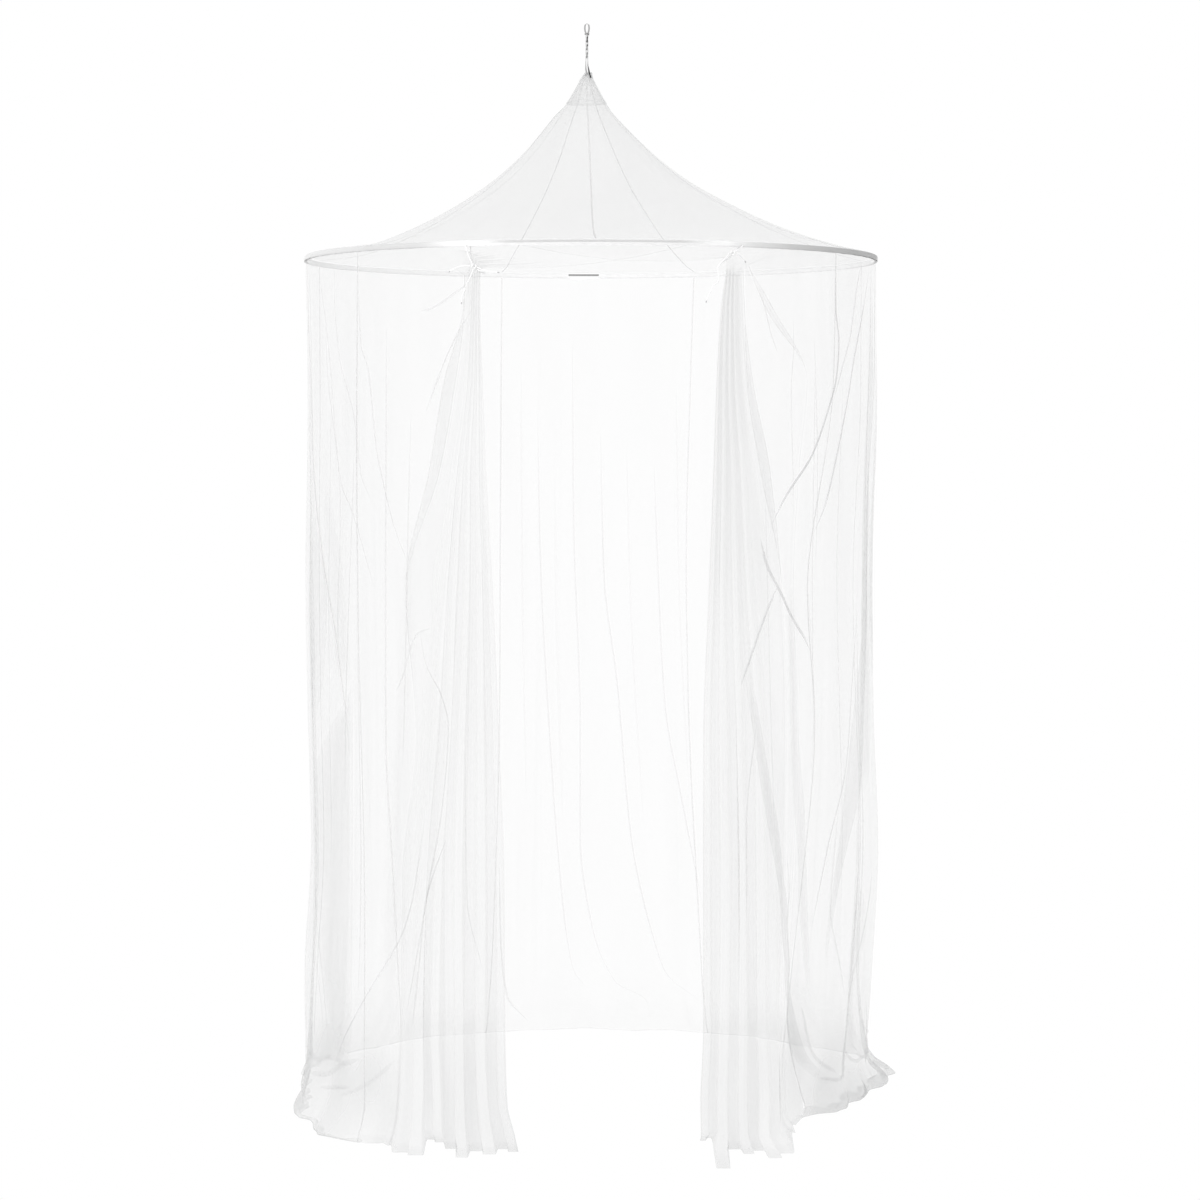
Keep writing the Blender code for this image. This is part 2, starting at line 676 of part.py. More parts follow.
def front_panel(canopy, name, panel):
    """Seam edge, creases and folds of the flat part, then the gathered part. The rows run from the hoop to the
    tie, where the gathered cloth comes across as a swag and turns down, and from the tie to the hem."""
    side = panel["side"]
    grid = []

    # the seam edge
    edge = []
    half_gap = math.degrees(SEAM_GAP / 2 / HOOP_RADIUS) * -side
    under_tie = panel["tie_height"] - panel["turn_drop"]
    swag_heights = [
        WALL_TOP + (under_tie - WALL_TOP) * share for share in (0.0, *SWAG_SHARES, TURN_SHARE, 1.0)
    ]
    for height in (*swag_heights, *FRONT_ROWS, 0.0):
        bearing = seam_bearing(panel["seam"], height) + half_gap
        edge.append(wall_point(bearing, height))
    grid.append(edge)

    # the flat part, whose distance from the axis passes from the seam's to the gather's
    goals = [hung(side * panel["tie_edges"][0], HOOP_RADIUS, 0.0)]
    for row, outer in enumerate(panel["outer_edge"]):
        goals.append(gathered_point(side, outer, row))
    goals.append(place(side * panel["pleats"][0][2], panel["pleats"][0][4], 0.0))
    level = len(swag_heights) - 1
    starts = edge[level:]
    tie_radius = reach(seam_bearing(panel["seam"], 2.1), 2.1)
    heights = (under_tie, *FRONT_ROWS)
    for bearing, share, xs, hem, across, layer in front_columns(panel):
        low = []
        for row, height in enumerate(heights):
            radius = tie_radius
            if row:
                seam_radius = reach(seam_bearing(panel["seam"], height), height)
                radius = seam_radius + (GATHER_REACH[row - 1] - seam_radius) * share
            depth = layer * FOLD_LAYER[row]
            shift = fold_shift(starts[row], goals[row], side, across[row], depth)
            low.append(hung(side * xs[row], radius, height) + shift)
        shift = fold_shift(starts[-1], goals[-1], side, across[-1], layer * FOLD_LAYER[-1])
        low.append(place(side * hem[0], hem[1], ON_FLOOR) + shift)
        hoop_radius = HOOP_RADIUS + (panel["hoop_radius"] - HOOP_RADIUS) * share
        top = place(*polar(bearing, hoop_radius), WALL_TOP)
        grid.append([top.lerp(low[0], part) for part in (0.0, *SWAG_SHARES, TURN_SHARE)] + low)

    # the gathered part
    for column in pleat_columns(panel):
        across = column["gather"]
        bearing = panel["gather_bearing"]
        bearing += (panel["free_edge_bearing"] - panel["gather_bearing"]) * column["hoop"]
        tie_x = panel["tie_edges"][0] + (panel["tie_edges"][1] - panel["tie_edges"][0]) * across
        tie_y = -math.sqrt(HOOP_RADIUS**2 - tie_x**2)
        tie_bearing = math.degrees(math.atan2(tie_y, side * tie_x))
        tie_bearing += 360.0
        turn_x = tie_x - panel["turn_lead"] * across
        turn_y = -math.sqrt(HOOP_RADIUS**2 - turn_x**2)
        turn_bearing = math.degrees(math.atan2(turn_y, side * turn_x)) + 360.0
        turn_height = panel["tie_height"] + panel["turn_rise"] * (1 - across)
        face = column["face"] * column["depth"] / 2
        points = []
        for part in (0.0, *SWAG_SHARES):
            sweep = 4 * part * (1 - part) * across**2
            radius = panel["hoop_radius"] * (1 - part) + HOOP_RADIUS * part - panel["inset"] * sweep
            height = WALL_TOP + (turn_height - WALL_TOP) * part - panel["swag_sag"] * sweep
            spot = place(*polar(bearing + (turn_bearing - bearing) * part, radius), height)
            spot.y += face * panel["tie_depth"] * part**4
            points.append(spot)
        points.append(place(side * turn_x, turn_y + face * panel["tie_depth"], turn_height))
        points.append(place(side * tie_x, tie_y + face * panel["tie_depth"], under_tie))
        rows = zip(panel["outer_edge"], panel["free_edge"], PLEAT_DEPTH)
        for row, (outer, free, depth) in enumerate(rows):
            spot = gathered_point(side, outer + (free - outer) * across, row)
            spot.y += face * depth
            points.append(spot)
        hem_x, hem_y = column["hem"]
        points.append(place(side * hem_x, hem_y, max(column["hem_height"], ON_FLOOR)))
        grid.append(points)

    cloth(canopy, name, [list(row) for row in zip(*grid)])


def hanging_loop(canopy):
    """One tape: up one leg, round the eye and down the other. The legs wind round each other."""
    centre = []
    across = []
    for direction, ends in ((-1, LEG_ENDS[0]), (1, LEG_ENDS[1])):
        leg = []
        for spot, wide in reversed(ends):
            leg.append((Vector(spot), Vector((*wide, 0.0)).normalized()))
        for step in range(TWIST_STEPS, -1, -1):
            share = step / TWIST_STEPS
            turn = math.tau * TWIST_TURNS * share
            out = Vector((math.cos(turn), math.sin(turn), 0.0)) * direction
            drop = TWIST_FROM + (TWIST_TO - TWIST_FROM) * share
            leg.append((out * LOOP_LEG_OFFSET + Vector((0, 0, drop)), Vector((-out.y, out.x, 0)) * direction))
        for x, drop in EYE_HALF:
            leg.append((Vector((direction * x, 0.0, drop)), Vector((0.0, 1.0, 0.0))))
        if direction > 0:
            leg.reverse()
            centre.append(Vector((0.0, 0.0, CLOTH / 2)))
            across.append(Vector((0.0, 1.0, 0.0)))
        centre += [spot for spot, wide in leg]
        across += [wide for spot, wide in leg]
    half = LOOP_WIDTH / 2
    rows = [[spot - wide * half, spot + wide * half] for spot, wide in zip(centre, across)]
    cloth(canopy, "hanging_loop", rows, "loop tape")

    bpy.ops.mesh.primitive_torus_add(
        major_radius=LOOP_KNOT_RADIUS,
        minor_radius=LOOP_KNOT_TURN,
        major_segments=14,
        minor_segments=6,
        location=(0.0, 0.0, -LOOP_KNOT_DROP),
    )
    knot = bpy.context.object
    knot.name = "loop_knot"
    knot.data.shade_smooth()
    knot.data.materials.append(material("loop tape"))
    for point in knot.data.vertices:
        point.co.z *= LOOP_KNOT_STRETCH
    for other in list(knot.users_collection):
        other.objects.unlink(knot)
    canopy.objects.link(knot)


def ties(canopy):
    for name, points in TIE_SLINGS.items():
        tube(canopy, name, [hung(*point) for point in points], TIE_DIAMETER)
    for name, spot in KNOTS.items():
        knot_mesh = bpy.data.meshes.new(name)
        shape = bmesh.new()
        bmesh.ops.create_uvsphere(shape, u_segments=12, v_segments=8, radius=1.0)
        bmesh.ops.scale(shape, vec=KNOT_SIZE, verts=shape.verts)
        shape.to_mesh(knot_mesh)
        shape.free()
        knot_mesh.shade_smooth()
        knot_mesh.materials.append(material("tie string"))
        knot = bpy.data.objects.new(name, knot_mesh)
        knot.location = hung(*spot)
        canopy.objects.link(knot)
    for name, points in TIE_ENDS.items():
        route = smooth_route([hung(*point) for point in points], END_POINT_SPACING)
        tube(canopy, name, route, END_DIAMETER)


def main():
    canopy = start_scene()
    hanging_loop(canopy)
    roof_cap(canopy)
    names = list(SEAMS)
    for number, name in enumerate(names):
        roof_gore(canopy, number + 1, name, names[(number + 1) % len(names)])
    hoop(canopy)
    hoop_casing(canopy)
    for name, (from_seam, to_seam) in WALL_PANELS.items():
        wall_panel(canopy, name, from_seam, to_seam)
    front_panel(canopy, "front_left", FRONT_LEFT)
    front_panel(canopy, "front_right", FRONT_RIGHT)
    ties(canopy)


main()
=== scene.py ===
"""The mosquito net canopy as it looks: fine white net on a hoop, hung by its loop, with the front tied open."""

import math

import bpy
import numpy as np
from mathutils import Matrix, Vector
from mathutils.kdtree import KDTree


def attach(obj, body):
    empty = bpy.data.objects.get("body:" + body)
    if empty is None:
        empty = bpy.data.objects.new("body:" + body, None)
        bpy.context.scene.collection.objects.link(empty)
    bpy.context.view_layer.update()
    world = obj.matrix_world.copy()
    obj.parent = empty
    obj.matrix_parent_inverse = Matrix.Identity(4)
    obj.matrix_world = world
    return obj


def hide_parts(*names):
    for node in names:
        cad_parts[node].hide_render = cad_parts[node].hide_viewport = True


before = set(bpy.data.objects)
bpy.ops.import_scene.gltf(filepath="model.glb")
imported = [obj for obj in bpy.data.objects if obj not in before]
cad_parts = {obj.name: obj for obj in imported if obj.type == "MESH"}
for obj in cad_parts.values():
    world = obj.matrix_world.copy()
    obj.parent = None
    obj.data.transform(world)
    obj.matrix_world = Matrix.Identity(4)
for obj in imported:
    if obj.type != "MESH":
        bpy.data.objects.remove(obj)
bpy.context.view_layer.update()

# ---- Hanging loop -------------------------------------------------------------------------------------
# One narrow woven tape. It goes up, round the open eye that the hook bears on, and down again, tied into
# a knot under the eye. The two legs are twisted round each other and sewn to the peak of the roof.

DROP = 2.815
AXIS_X = 0.0105
TAPE_WIDTH = 0.0045
TAPE_THICKNESS = 0.0014


def smooth(keys, values, at):
    """Values on a soft curve through the keys that never swings past them."""
    keys = np.asarray(keys, float)
    values = np.asarray(values, float)
    at = np.asarray(at, float)
    result = at.shape + values.shape[1:]
    at = at.ravel()
    shape = (-1,) + (1,) * (values.ndim - 1)
    gaps = np.diff(keys).reshape(shape)
    slopes = np.diff(values, axis=0) / gaps
    tangents = np.empty_like(values)
    tangents[0] = slopes[0]
    tangents[-1] = slopes[-1]
    before, after = slopes[:-1], slopes[1:]
    same_way = before * after > 0
    total = np.where(same_way, before + after, 1.0)
    tangents[1:-1] = np.where(same_way, 2 * before * after / total, 0.0)
    left = np.clip(np.searchsorted(keys, at, side="right") - 1, 0, len(keys) - 2)
    gap = (keys[left + 1] - keys[left]).reshape(shape)
    t = np.clip((at - keys[left]) / (keys[left + 1] - keys[left]), 0, 1).reshape(shape)
    curve = (
        (2 * t**3 - 3 * t**2 + 1) * values[left]
        + (t**3 - 2 * t**2 + t) * gap * tangents[left]
        + (-2 * t**3 + 3 * t**2) * values[left + 1]
        + (t**3 - t**2) * gap * tangents[left + 1]
    )
    return curve.reshape(result)


def lengths(points):
    """Distance travelled along a line of points, from its start."""
    return np.concatenate([[0.0], np.cumsum(np.linalg.norm(np.diff(points, axis=0), axis=1))])


def build(name, patches, stuff):
    """One piece of cloth, tape or string from grids of points. A patch is its points, rows by columns, how many
    thicknesses of cloth lie there (on the hanging loop, where its painted shade lies instead), and whether its
    columns close into a ring."""
    points, faces, spots, thicknesses = [], [], [], []
    base = 0
    for grid, layers, closed in patches:
        rows, columns = grid.shape[:2]
        points.append(grid.reshape(-1, 3))
        thicknesses.append(np.broadcast_to(layers, (rows, columns)).reshape(-1))
        across = np.percentile(np.linalg.norm(np.diff(grid, axis=1), axis=2), 75, axis=0)
        down = np.median(np.linalg.norm(np.diff(grid, axis=0), axis=2), axis=1)
        u = np.concatenate([[0.0], np.cumsum(across), [np.sum(across) + across[-1]]])
        v = np.concatenate([[0.0], np.cumsum(down)])
        last = columns if closed else columns - 1
        for row in range(rows - 1):
            for column in range(last):
                beside = (column + 1) % columns
                here = base + row * columns
                faces.append((here + column, here + columns + column, here + columns + beside, here + beside))
                spots.extend(
                    (
                        (u[column], v[row]),
                        (u[column], v[row + 1]),
                        (u[column + 1], v[row + 1]),
                        (u[column + 1], v[row]),
                    )
                )
        base += rows * columns
    mesh = bpy.data.meshes.new(name)
    mesh.from_pydata(np.concatenate(points).tolist(), [], faces)
    mesh.uv_layers.new(name="UVMap").data.foreach_set("uv", np.array(spots, np.float32).reshape(-1))
    mesh.attributes.new("layers", "FLOAT", "POINT").data.foreach_set(
        "value", np.concatenate(thicknesses).astype(np.float32)
    )
    mesh.shade_smooth()
    mesh.materials.append(stuff)
    piece = bpy.data.objects.new(name, mesh)
    bpy.context.scene.collection.objects.link(piece)
    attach(piece, "root")
    return piece


def tube_grid(route, radius, sides=12, strands=0, lay=0.0, flatness=1.0, wide=None):
    """A round, stranded or flattened tube along a route, with closed ends."""
    route = np.asarray(route, float)
    travel = lengths(route)
    along = np.gradient(route, axis=0)
    along /= np.linalg.norm(along, axis=1)[:, None]
    if wide is None:
        side = np.cross(along[0], (0.31, 0.22, 0.92))
        wide = []
        for way in along:
            side = side - way * side.dot(way)
            side = side / np.linalg.norm(side)
            wide.append(side)
    wide = np.asarray(wide, float)
    wide = wide - along * np.sum(along * wide, axis=1)[:, None]
    wide /= np.linalg.norm(wide, axis=1)[:, None]
    deep = np.cross(along, wide)
    angles = np.arange(sides) * math.tau / sides
    swell = np.ones((len(route), sides))
    if strands:
        swell = 0.80 + 0.20 * np.abs(np.cos(strands / 2 * (angles[None] - travel[:, None] * math.tau / lay)))
    across = np.cos(angles)[None] * swell * radius
    through = np.sin(angles)[None] * swell * radius * flatness
    ring = (
        route[:, None]
        + wide[:, None] * across[:, :, None]
        + deep[:, None] * through[:, :, None]
    )
    start = np.repeat(route[:1], sides, axis=0)[None]
    end = np.repeat(route[-1:], sides, axis=0)[None]
    first = start + (ring[:1] - start) * 0.55
    final = end + (ring[-1:] - end) * 0.55
    return np.concatenate([start, first, ring, final, end])


def group(name, inputs, outputs):
    """An empty node group with its sockets, for a pattern that more than one material uses."""
    tree = bpy.data.node_groups.new(name, "ShaderNodeTree")
    for socket, kind, value in inputs:
        made = tree.interface.new_socket(socket, in_out="INPUT", socket_type=kind)
        if value is not None:
            made.default_value = value
    for socket, kind in outputs:
        tree.interface.new_socket(socket, in_out="OUTPUT", socket_type=kind)
    return tree, tree.nodes.new("NodeGroupInput"), tree.nodes.new("NodeGroupOutput")


def maths(tree, operation, first, second=None, third=None, clamp=False):
    """A Math node, with each input a number or a socket."""
    node = tree.nodes.new("ShaderNodeMath")
    node.operation = operation
    node.use_clamp = clamp
    for spot, value in enumerate((first, second, third)):
        if isinstance(value, (int, float)):
            node.inputs[spot].default_value = value
        elif value is not None:
            tree.links.new(value, node.inputs[spot])
    return node.outputs[0]


def weave_group():
    """Threads crossing at right angles. Thread is 1 along a thread and 0 in a hole. Height is for a bump."""
    tree, given, out = group(
        "thread weave",
        (
            ("Cloth", "NodeSocketVector", None),
            ("Pitch", "NodeSocketFloat", 0.002),
            ("Thread Share", "NodeSocketFloat", 0.25),
            ("Unevenness", "NodeSocketFloat", 0.2),
        ),
        (("Thread", "NodeSocketFloat"), ("Height", "NodeSocketFloat"), ("Drift", "NodeSocketFloat")),
    )
    drift = tree.nodes.new("ShaderNodeTexNoise")
    drift.inputs["Scale"].default_value = 14.0
    drift.inputs["Detail"].default_value = 2.0
    tree.links.new(given.outputs["Cloth"], drift.inputs["Vector"])
    split = tree.nodes.new("ShaderNodeSeparateXYZ")
    tree.links.new(given.outputs["Cloth"], split.inputs[0])
    centred = maths(tree, "SUBTRACT", drift.outputs["Fac"], 0.5)
    waver = maths(tree, "MULTIPLY", centred, given.outputs["Unevenness"])
    crests = []
    for axis in (0, 1):
        turns = maths(tree, "ADD", maths(tree, "DIVIDE", split.outputs[axis], given.outputs["Pitch"]), waver)
        crest = maths(tree, "ABSOLUTE", maths(tree, "SUBTRACT", maths(tree, "FRACT", turns), 0.5))
        crests.append(maths(tree, "MULTIPLY", crest, 2.0))
    edge = maths(tree, "SUBTRACT", 1.0, given.outputs["Thread Share"])
    solid = []
    for crest in crests:
        steep = maths(tree, "MULTIPLY", maths(tree, "SUBTRACT", crest, edge), 8.0)
        solid.append(maths(tree, "SMOOTH_MIN", steep, 1.0, 0.1))
    both = maths(tree, "MAXIMUM", solid[0], solid[1], clamp=True)
    tree.links.new(both, out.inputs["Thread"])
    tree.links.new(maths(tree, "MAXIMUM", crests[0], crests[1]), out.inputs["Height"])
    tree.links.new(drift.outputs["Fac"], out.inputs["Drift"])
    return tree


thread_weave = weave_group()


def new_material(name):
    stuff = bpy.data.materials.new(name)
    stuff.use_nodes = True
    tree = stuff.node_tree
    return stuff, tree, tree.nodes["Principled BSDF"]


def layers_here(tree):
    """How many thicknesses of cloth lie here, or on the hanging loop where its painted shade lies."""
    layers = tree.nodes.new("ShaderNodeAttribute")
    layers.attribute_name = "layers"
    return layers.outputs["Fac"]


def spread_over(tree, value, start, end, low, high):
    """The value taken from the range start to end to the range low to high, and held at its ends."""
    node = tree.nodes.new("ShaderNodeMapRange")
    for socket, number in (("From Min", start), ("From Max", end), ("To Min", low), ("To Max", high)):
        node.inputs[socket].default_value = number
    tree.links.new(value, node.inputs["Value"])
    return node.outputs["Result"]


def mixed(tree, share, first, second):
    """A mix of two colours, each a socket or its three values."""
    node = tree.nodes.new("ShaderNodeMix")
    node.data_type = "RGBA"
    for socket, colour in (("A", first), ("B", second)):
        if isinstance(colour, tuple):
            node.inputs[socket].default_value = (*colour, 1.0)
        else:
            tree.links.new(colour, node.inputs[socket])
    tree.links.new(share, node.inputs["Factor"])
    return node.outputs["Result"]


def darkened(tree, colour, share):
    node = tree.nodes.new("ShaderNodeVectorMath")
    node.operation = "SCALE"
    tree.links.new(colour, node.inputs["Vector"])
    tree.links.new(share, node.inputs["Scale"])
    return node.outputs["Vector"]


def weave_on(tree, shader, pitch, thread_share, bump, strength=1.0):
    """The weave laid over the cloth, with its relief."""
    cloth = tree.nodes.new("ShaderNodeTexCoord")
    weave = tree.nodes.new("ShaderNodeGroup")
    weave.node_tree = thread_weave
    weave.inputs["Pitch"].default_value = pitch
    weave.inputs["Thread Share"].default_value = thread_share
    tree.links.new(cloth.outputs["UV"], weave.inputs["Cloth"])
    relief = tree.nodes.new("ShaderNodeBump")
    relief.inputs["Strength"].default_value = strength
    relief.inputs["Distance"].default_value = bump
    tree.links.new(weave.outputs["Height"], relief.inputs["Height"])
    tree.links.new(relief.outputs["Normal"], shader.inputs["Normal"])
    return cloth, weave


def woven(name, dark, light, roughness, pitch, bump, thread_share=0.5):
    """A closely woven, solid material. Its colour runs from dark between the threads to light along them."""
    stuff, tree, shader = new_material(name)
    _, weave = weave_on(tree, shader, pitch, thread_share, bump)
    share = maths(tree, "MULTIPLY", weave.outputs["Height"], maths(tree, "ADD", weave.outputs["Drift"], 0.5))
    tree.links.new(mixed(tree, share, (dark,) * 3, (light,) * 3), shader.inputs["Base Color"])
    shader.inputs["Roughness"].default_value = roughness
    shader.inputs["Sheen Weight"].default_value = 0.15
    return stuff


loop_tape = woven("loop tape", 0.14, 0.46, 0.7, 0.0008, 0.0002)
# the right side of the tape, away from the lamp, is painted near black where shade falls: painted shade
loop_tree = loop_tape.node_tree
loop_shader = loop_tree.nodes["Principled BSDF"]
unshaded_side_colour = loop_shader.inputs["Base Color"].links[0].from_socket
painted_shade_share = maths(loop_tree, "SUBTRACT", layers_here(loop_tree), 1.0, clamp=True)
loop_painted_shade_colour = mixed(loop_tree, painted_shade_share, unshaded_side_colour, (0.010, 0.010, 0.011))
loop_tree.links.new(loop_painted_shade_colour, loop_shader.inputs["Base Color"])

EYE_HALF = (
    (0.0024, -0.026), (0.0048, -0.018), (0.0056, -0.011), (0.005, -0.0045), (0.0028, -0.0008),
)
TWIST_FROM, TWIST_TO = -0.030, -0.092
TWIST_TURNS = 1.5
TWIST_STEPS = 12
LEG_OFFSET = 0.0024
TAPE_STEPS = 280
# each leg's last points, with the direction across the tape there: x, y, z, across x, across y
LEG_ENDS = (
    (
        (0.0025, -0.0045, -0.1080, -0.50, -0.87),
        (0.0045, -0.0088, -0.1200, -0.90, -0.43),
        (0.0072, -0.0133, -0.1320, -0.96, -0.29),
        (0.0107, -0.0169, -0.1430, -0.87, -0.49),
    ),
    (
        (-0.0030, -0.0055, -0.1080, 0.50, -0.87),
        (-0.0028, -0.0092, -0.1180, 0.83, -0.56),
        (-0.0010, -0.0121, -0.1290, 0.95, -0.32),
        (-0.0030, -0.0158, -0.1370, 0.95, -0.32),
    ),
)


def loop_line():
    """The middle of the tape from one sewn end to the other, and the way across it."""
    middle, across = [], []
    for way, ends in ((-1, LEG_ENDS[0]), (1, LEG_ENDS[1])):
        leg = [((x, y, z), (ax, ay, 0.0)) for x, y, z, ax, ay in reversed(ends)]
        for step in range(TWIST_STEPS, -1, -1):
            share = step / TWIST_STEPS
            turn = math.tau * TWIST_TURNS * share
            x, y = way * math.cos(turn), way * math.sin(turn)
            drop = TWIST_FROM + (TWIST_TO - TWIST_FROM) * share
            leg.append(((x * LEG_OFFSET, y * LEG_OFFSET, drop), (-y * way, x * way, 0.0)))
        leg += [((way * x, 0.0, drop), (0.95 * way, 0.31, 0.0)) for x, drop in EYE_HALF[:-1]]
        leg.append(((way * EYE_HALF[-1][0], 0.0, EYE_HALF[-1][1]), (0.5 * way, 0.86, 0.0)))
        if way > 0:
            leg.reverse()
            middle.append((0.0, 0.0, 0.0005))
            across.append((0.0, 1.0, 0.0))
        middle += [spot for spot, wide in leg]
        across += [wide for spot, wide in leg]
    middle = np.array(middle)
    across = np.array(across)
    travel = lengths(middle)
    at = np.linspace(0.0, travel[-1], TAPE_STEPS)
    return smooth(travel, middle, at), smooth(travel, across, at)


tape_middle, tape_across = loop_line()
tape_grid = tube_grid(tape_middle, TAPE_WIDTH / 2, 12, flatness=TAPE_THICKNESS / TAPE_WIDTH, wide=tape_across)
tape_x, tape_drop = tape_grid[:, :, 0], tape_grid[:, :, 2]
# the right side of the twist and of the sewn ends, away from the lamp: painted shade, carried in the layers
# attribute
painted_shade_low = (tape_drop < -0.104) & (tape_x > 0.0035)
painted_shade_high = (tape_drop > -0.058) & (tape_drop < -0.028) & (tape_x > 0.0006)
loop = build("hanging_loop_tape", [(tape_grid, 1.0 + (painted_shade_low | painted_shade_high), True)], loop_tape)
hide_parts("hanging_loop")

# The knot is the tape's own turns round its legs.
KNOT_DROP = 0.0265
KNOT_RADIUS = 0.0049
KNOT_TURNS = 2.25
knot_line = []
for turn in np.linspace(0.0, math.tau * KNOT_TURNS, 90):
    lift = 0.0022 * math.cos(turn / KNOT_TURNS / 2) + 0.0007 * math.sin(turn * 1.5)
    out = KNOT_RADIUS + 0.0005 * math.sin(turn * 2 + 0.6)
    knot_line.append((out * math.cos(turn), out * math.sin(turn), -KNOT_DROP + lift))
loop_knot = build(
    "loop_knot_turns",
    [(tube_grid(knot_line, 0.0013, 10, flatness=0.75), 1.0, True)],
    loop_tape,
)
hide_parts("loop_knot")

# ---- Roof gores ---------------------------------------------------------------------------------------
# Seven tapered pieces of net, seamed to each other from the peak to the hoop. They hang between the peak
# and the hoop in a hollow curve, each a little hollow between its seams.

# how far the edges of two neighbouring lengths of net lie over each other
SEAM_OVERLAP = 0.003
HOOP_RADIUS = 0.750
HOOP_HEIGHT = 2.198
CASING_TOP = HOOP_HEIGHT + 0.0049
CASING_BOTTOM = HOOP_HEIGHT - 0.0095
WALL_TOP = CASING_BOTTOM - 0.0007
# height, radius, lean to the right, further reach on the right than on the left
ROOF_LINE = (
    (2.688, 0.0075, -0.0066, 0), (2.667, 0.0173, -0.0107, 0), (2.606, 0.0525, -0.01, -0.002),
    (2.569, 0.085, -0.008, -0.008), (2.468, 0.181, -0.003, -0.004), (2.396, 0.2705, -0.001, 0.003),
    (2.341, 0.361, 0, 0.013), (2.296, 0.4475, 0, 0.02), (2.258, 0.534, 0, 0.028), (2.23, 0.615, 0, 0.036),
    (2.214, 0.676, 0, 0.032), (CASING_TOP + 0.001, 0.749, 0, 0),
)
GORE_SAG = 0.02
# share of a gore's width that is left free at each seam
GORE_EDGE = 0.0008
# bearings from +X towards +Y: at the peak, at the hoop, and down the wall at SEAM_HEIGHTS below the hoop
SEAMS = {
    "right": (13, 14, (14, 14, 14, 14, 14)),
    "back_right": (64, 67.1, (68.2, 69.3, 69, 67, 66)),
    "back_left": (122, 110, (110, 110, 110, 111, 112)),
    "left": (168, 167, (167, 167, 167, 167, 167)),
    "front_left": (219.5, 219.5, (219.5, 220.6, 222, 226.5, 231)),
    "front": (269.3, 271.1, ()),
    "front_right": (325, 325, (323.4, 314.7, 317, 313.2, 322.5)),
}
SEAM_HEIGHTS = (WALL_TOP, 1.87, 1.35, 1.0, 0.3, 0.0)
# soft folds in the roof net: bearing at the peak, bearing at the hoop, from and to as shares of the way
# down, depth, half width in degrees
ROOF_FOLDS = (
    (30, 38, 0.3, 1, -0.006, 3), (88, 90, 0.1, 0.8, 0.004, 4), (140, 146, 0.25, 0.95, -0.006, 3.5),
    (195, 190, 0.35, 1, 0.006, 2.6), (205, 209, 0.55, 1, -0.008, 2.4), (232, 236, 0.05, 0.6, 0.004, 4),
    (250, 246, 0.45, 1, -0.006, 3), (262, 259, 0, 0.45, -0.003, 5), (284, 288, 0.1, 0.7, 0.004, 4),
    (300, 306, 0.4, 1, -0.007, 2.8), (316, 313, 0.6, 1, 0.007, 2.4), (340, 337, 0.55, 1, -0.008, 2.6),
)


def net(name, open_share, thread_share, tone, uneven, pitch=0.0019):
    """Sheer net. It lets less through where it is folded over itself, and where it is seen at a slant, because
    the threads then stand closer together. Uneven is how much it varies in long soft gathers."""
    stuff, tree, shader = new_material(name)
    cloth, weave = weave_on(tree, shader, pitch, 0.22, 0.0003, strength=0.35)
    covered = spread_over(tree, weave.outputs["Thread"], 0.0, 1.0, open_share, thread_share)
    layers = layers_here(tree)
    slant = tree.nodes.new("ShaderNodeLayerWeight")
    slant.inputs["Blend"].default_value = 0.5
    # the more net lies together the more it is crumpled, and the less its slant shows
    least = spread_over(tree, layers, 1.0, 5.0, 0.48, 0.92)
    upright = maths(tree, "MAXIMUM", maths(tree, "SUBTRACT", 1.0, slant.outputs["Facing"]), least)
    tall = tree.nodes.new("ShaderNodeVectorMath")
    tall.operation = "MULTIPLY"
    tall.inputs[1].default_value = (11.0, 11.0, 1.6)
    tree.links.new(cloth.outputs["Object"], tall.inputs[0])
    gathers = tree.nodes.new("ShaderNodeTexNoise")
    gathers.inputs["Scale"].default_value = 1.0
    gathers.inputs["Detail"].default_value = 1.5
    tree.links.new(tall.outputs["Vector"], gathers.inputs["Vector"])
    closer = spread_over(tree, gathers.outputs["Fac"], 0.3, 0.7, 1.0 - uneven, 1.0 + uneven)
    crossings = maths(tree, "DIVIDE", maths(tree, "MULTIPLY", layers, closer), upright)
    through = maths(tree, "POWER", maths(tree, "SUBTRACT", 1.0, covered), crossings)
    tree.links.new(maths(tree, "SUBTRACT", 1.0, through), shader.inputs["Alpha"])
    colour = mixed(tree, weave.outputs["Drift"], (tone * 0.94, tone * 0.945, tone * 0.95), (tone,) * 3)
    # where many thicknesses of net lie, in heaps, gathers and sharp creases, the colour is darkened: painted
    # shade
    shade = spread_over(tree, layers, 4.5, 12.0, 1.0, 0.84)
    tree.links.new(darkened(tree, colour, shade), shader.inputs["Base Color"])
    shader.inputs["Roughness"].default_value = 0.75
    shader.inputs["Sheen Weight"].default_value = 0.1
    return stuff


taut_net = net("taut white net", 0.050, 0.102, 0.60, 0.05)
fine_net = net("fine white net", 0.050, 0.102, 0.61, 0.20)
folded_net = net("folded white net", 0.070, 0.076, 0.58, 0.15, pitch=0.0013)


def roof_spot(bearing, down, sag=0.0, clearance=0.0):
    """Points of the roof. down runs from 0 at the peak to 1 at the hoop."""
    keys = np.linspace(0.0, 1.0, len(ROOF_LINE))
    height, radius, lean, skew = smooth(keys, ROOF_LINE, np.ravel(down)).T
    shape = np.shape(down)
    height, radius, lean, skew = (v.reshape(shape) for v in (height, radius, lean, skew))
    angle = np.radians(bearing)
    spread = (radius + skew * np.cos(angle)) * (1.0 - sag) + clearance
    x = spread * np.cos(angle) + lean + AXIS_X
    y = spread * np.sin(angle)
    return np.stack([x, y, height - DROP + clearance * 0.4 + 0 * x], axis=-1)


def away_from(bearing, middle):
    """Degrees from the middle bearing, from -180 to 180."""
    return (bearing - middle + 180.0) % 360.0 - 180.0


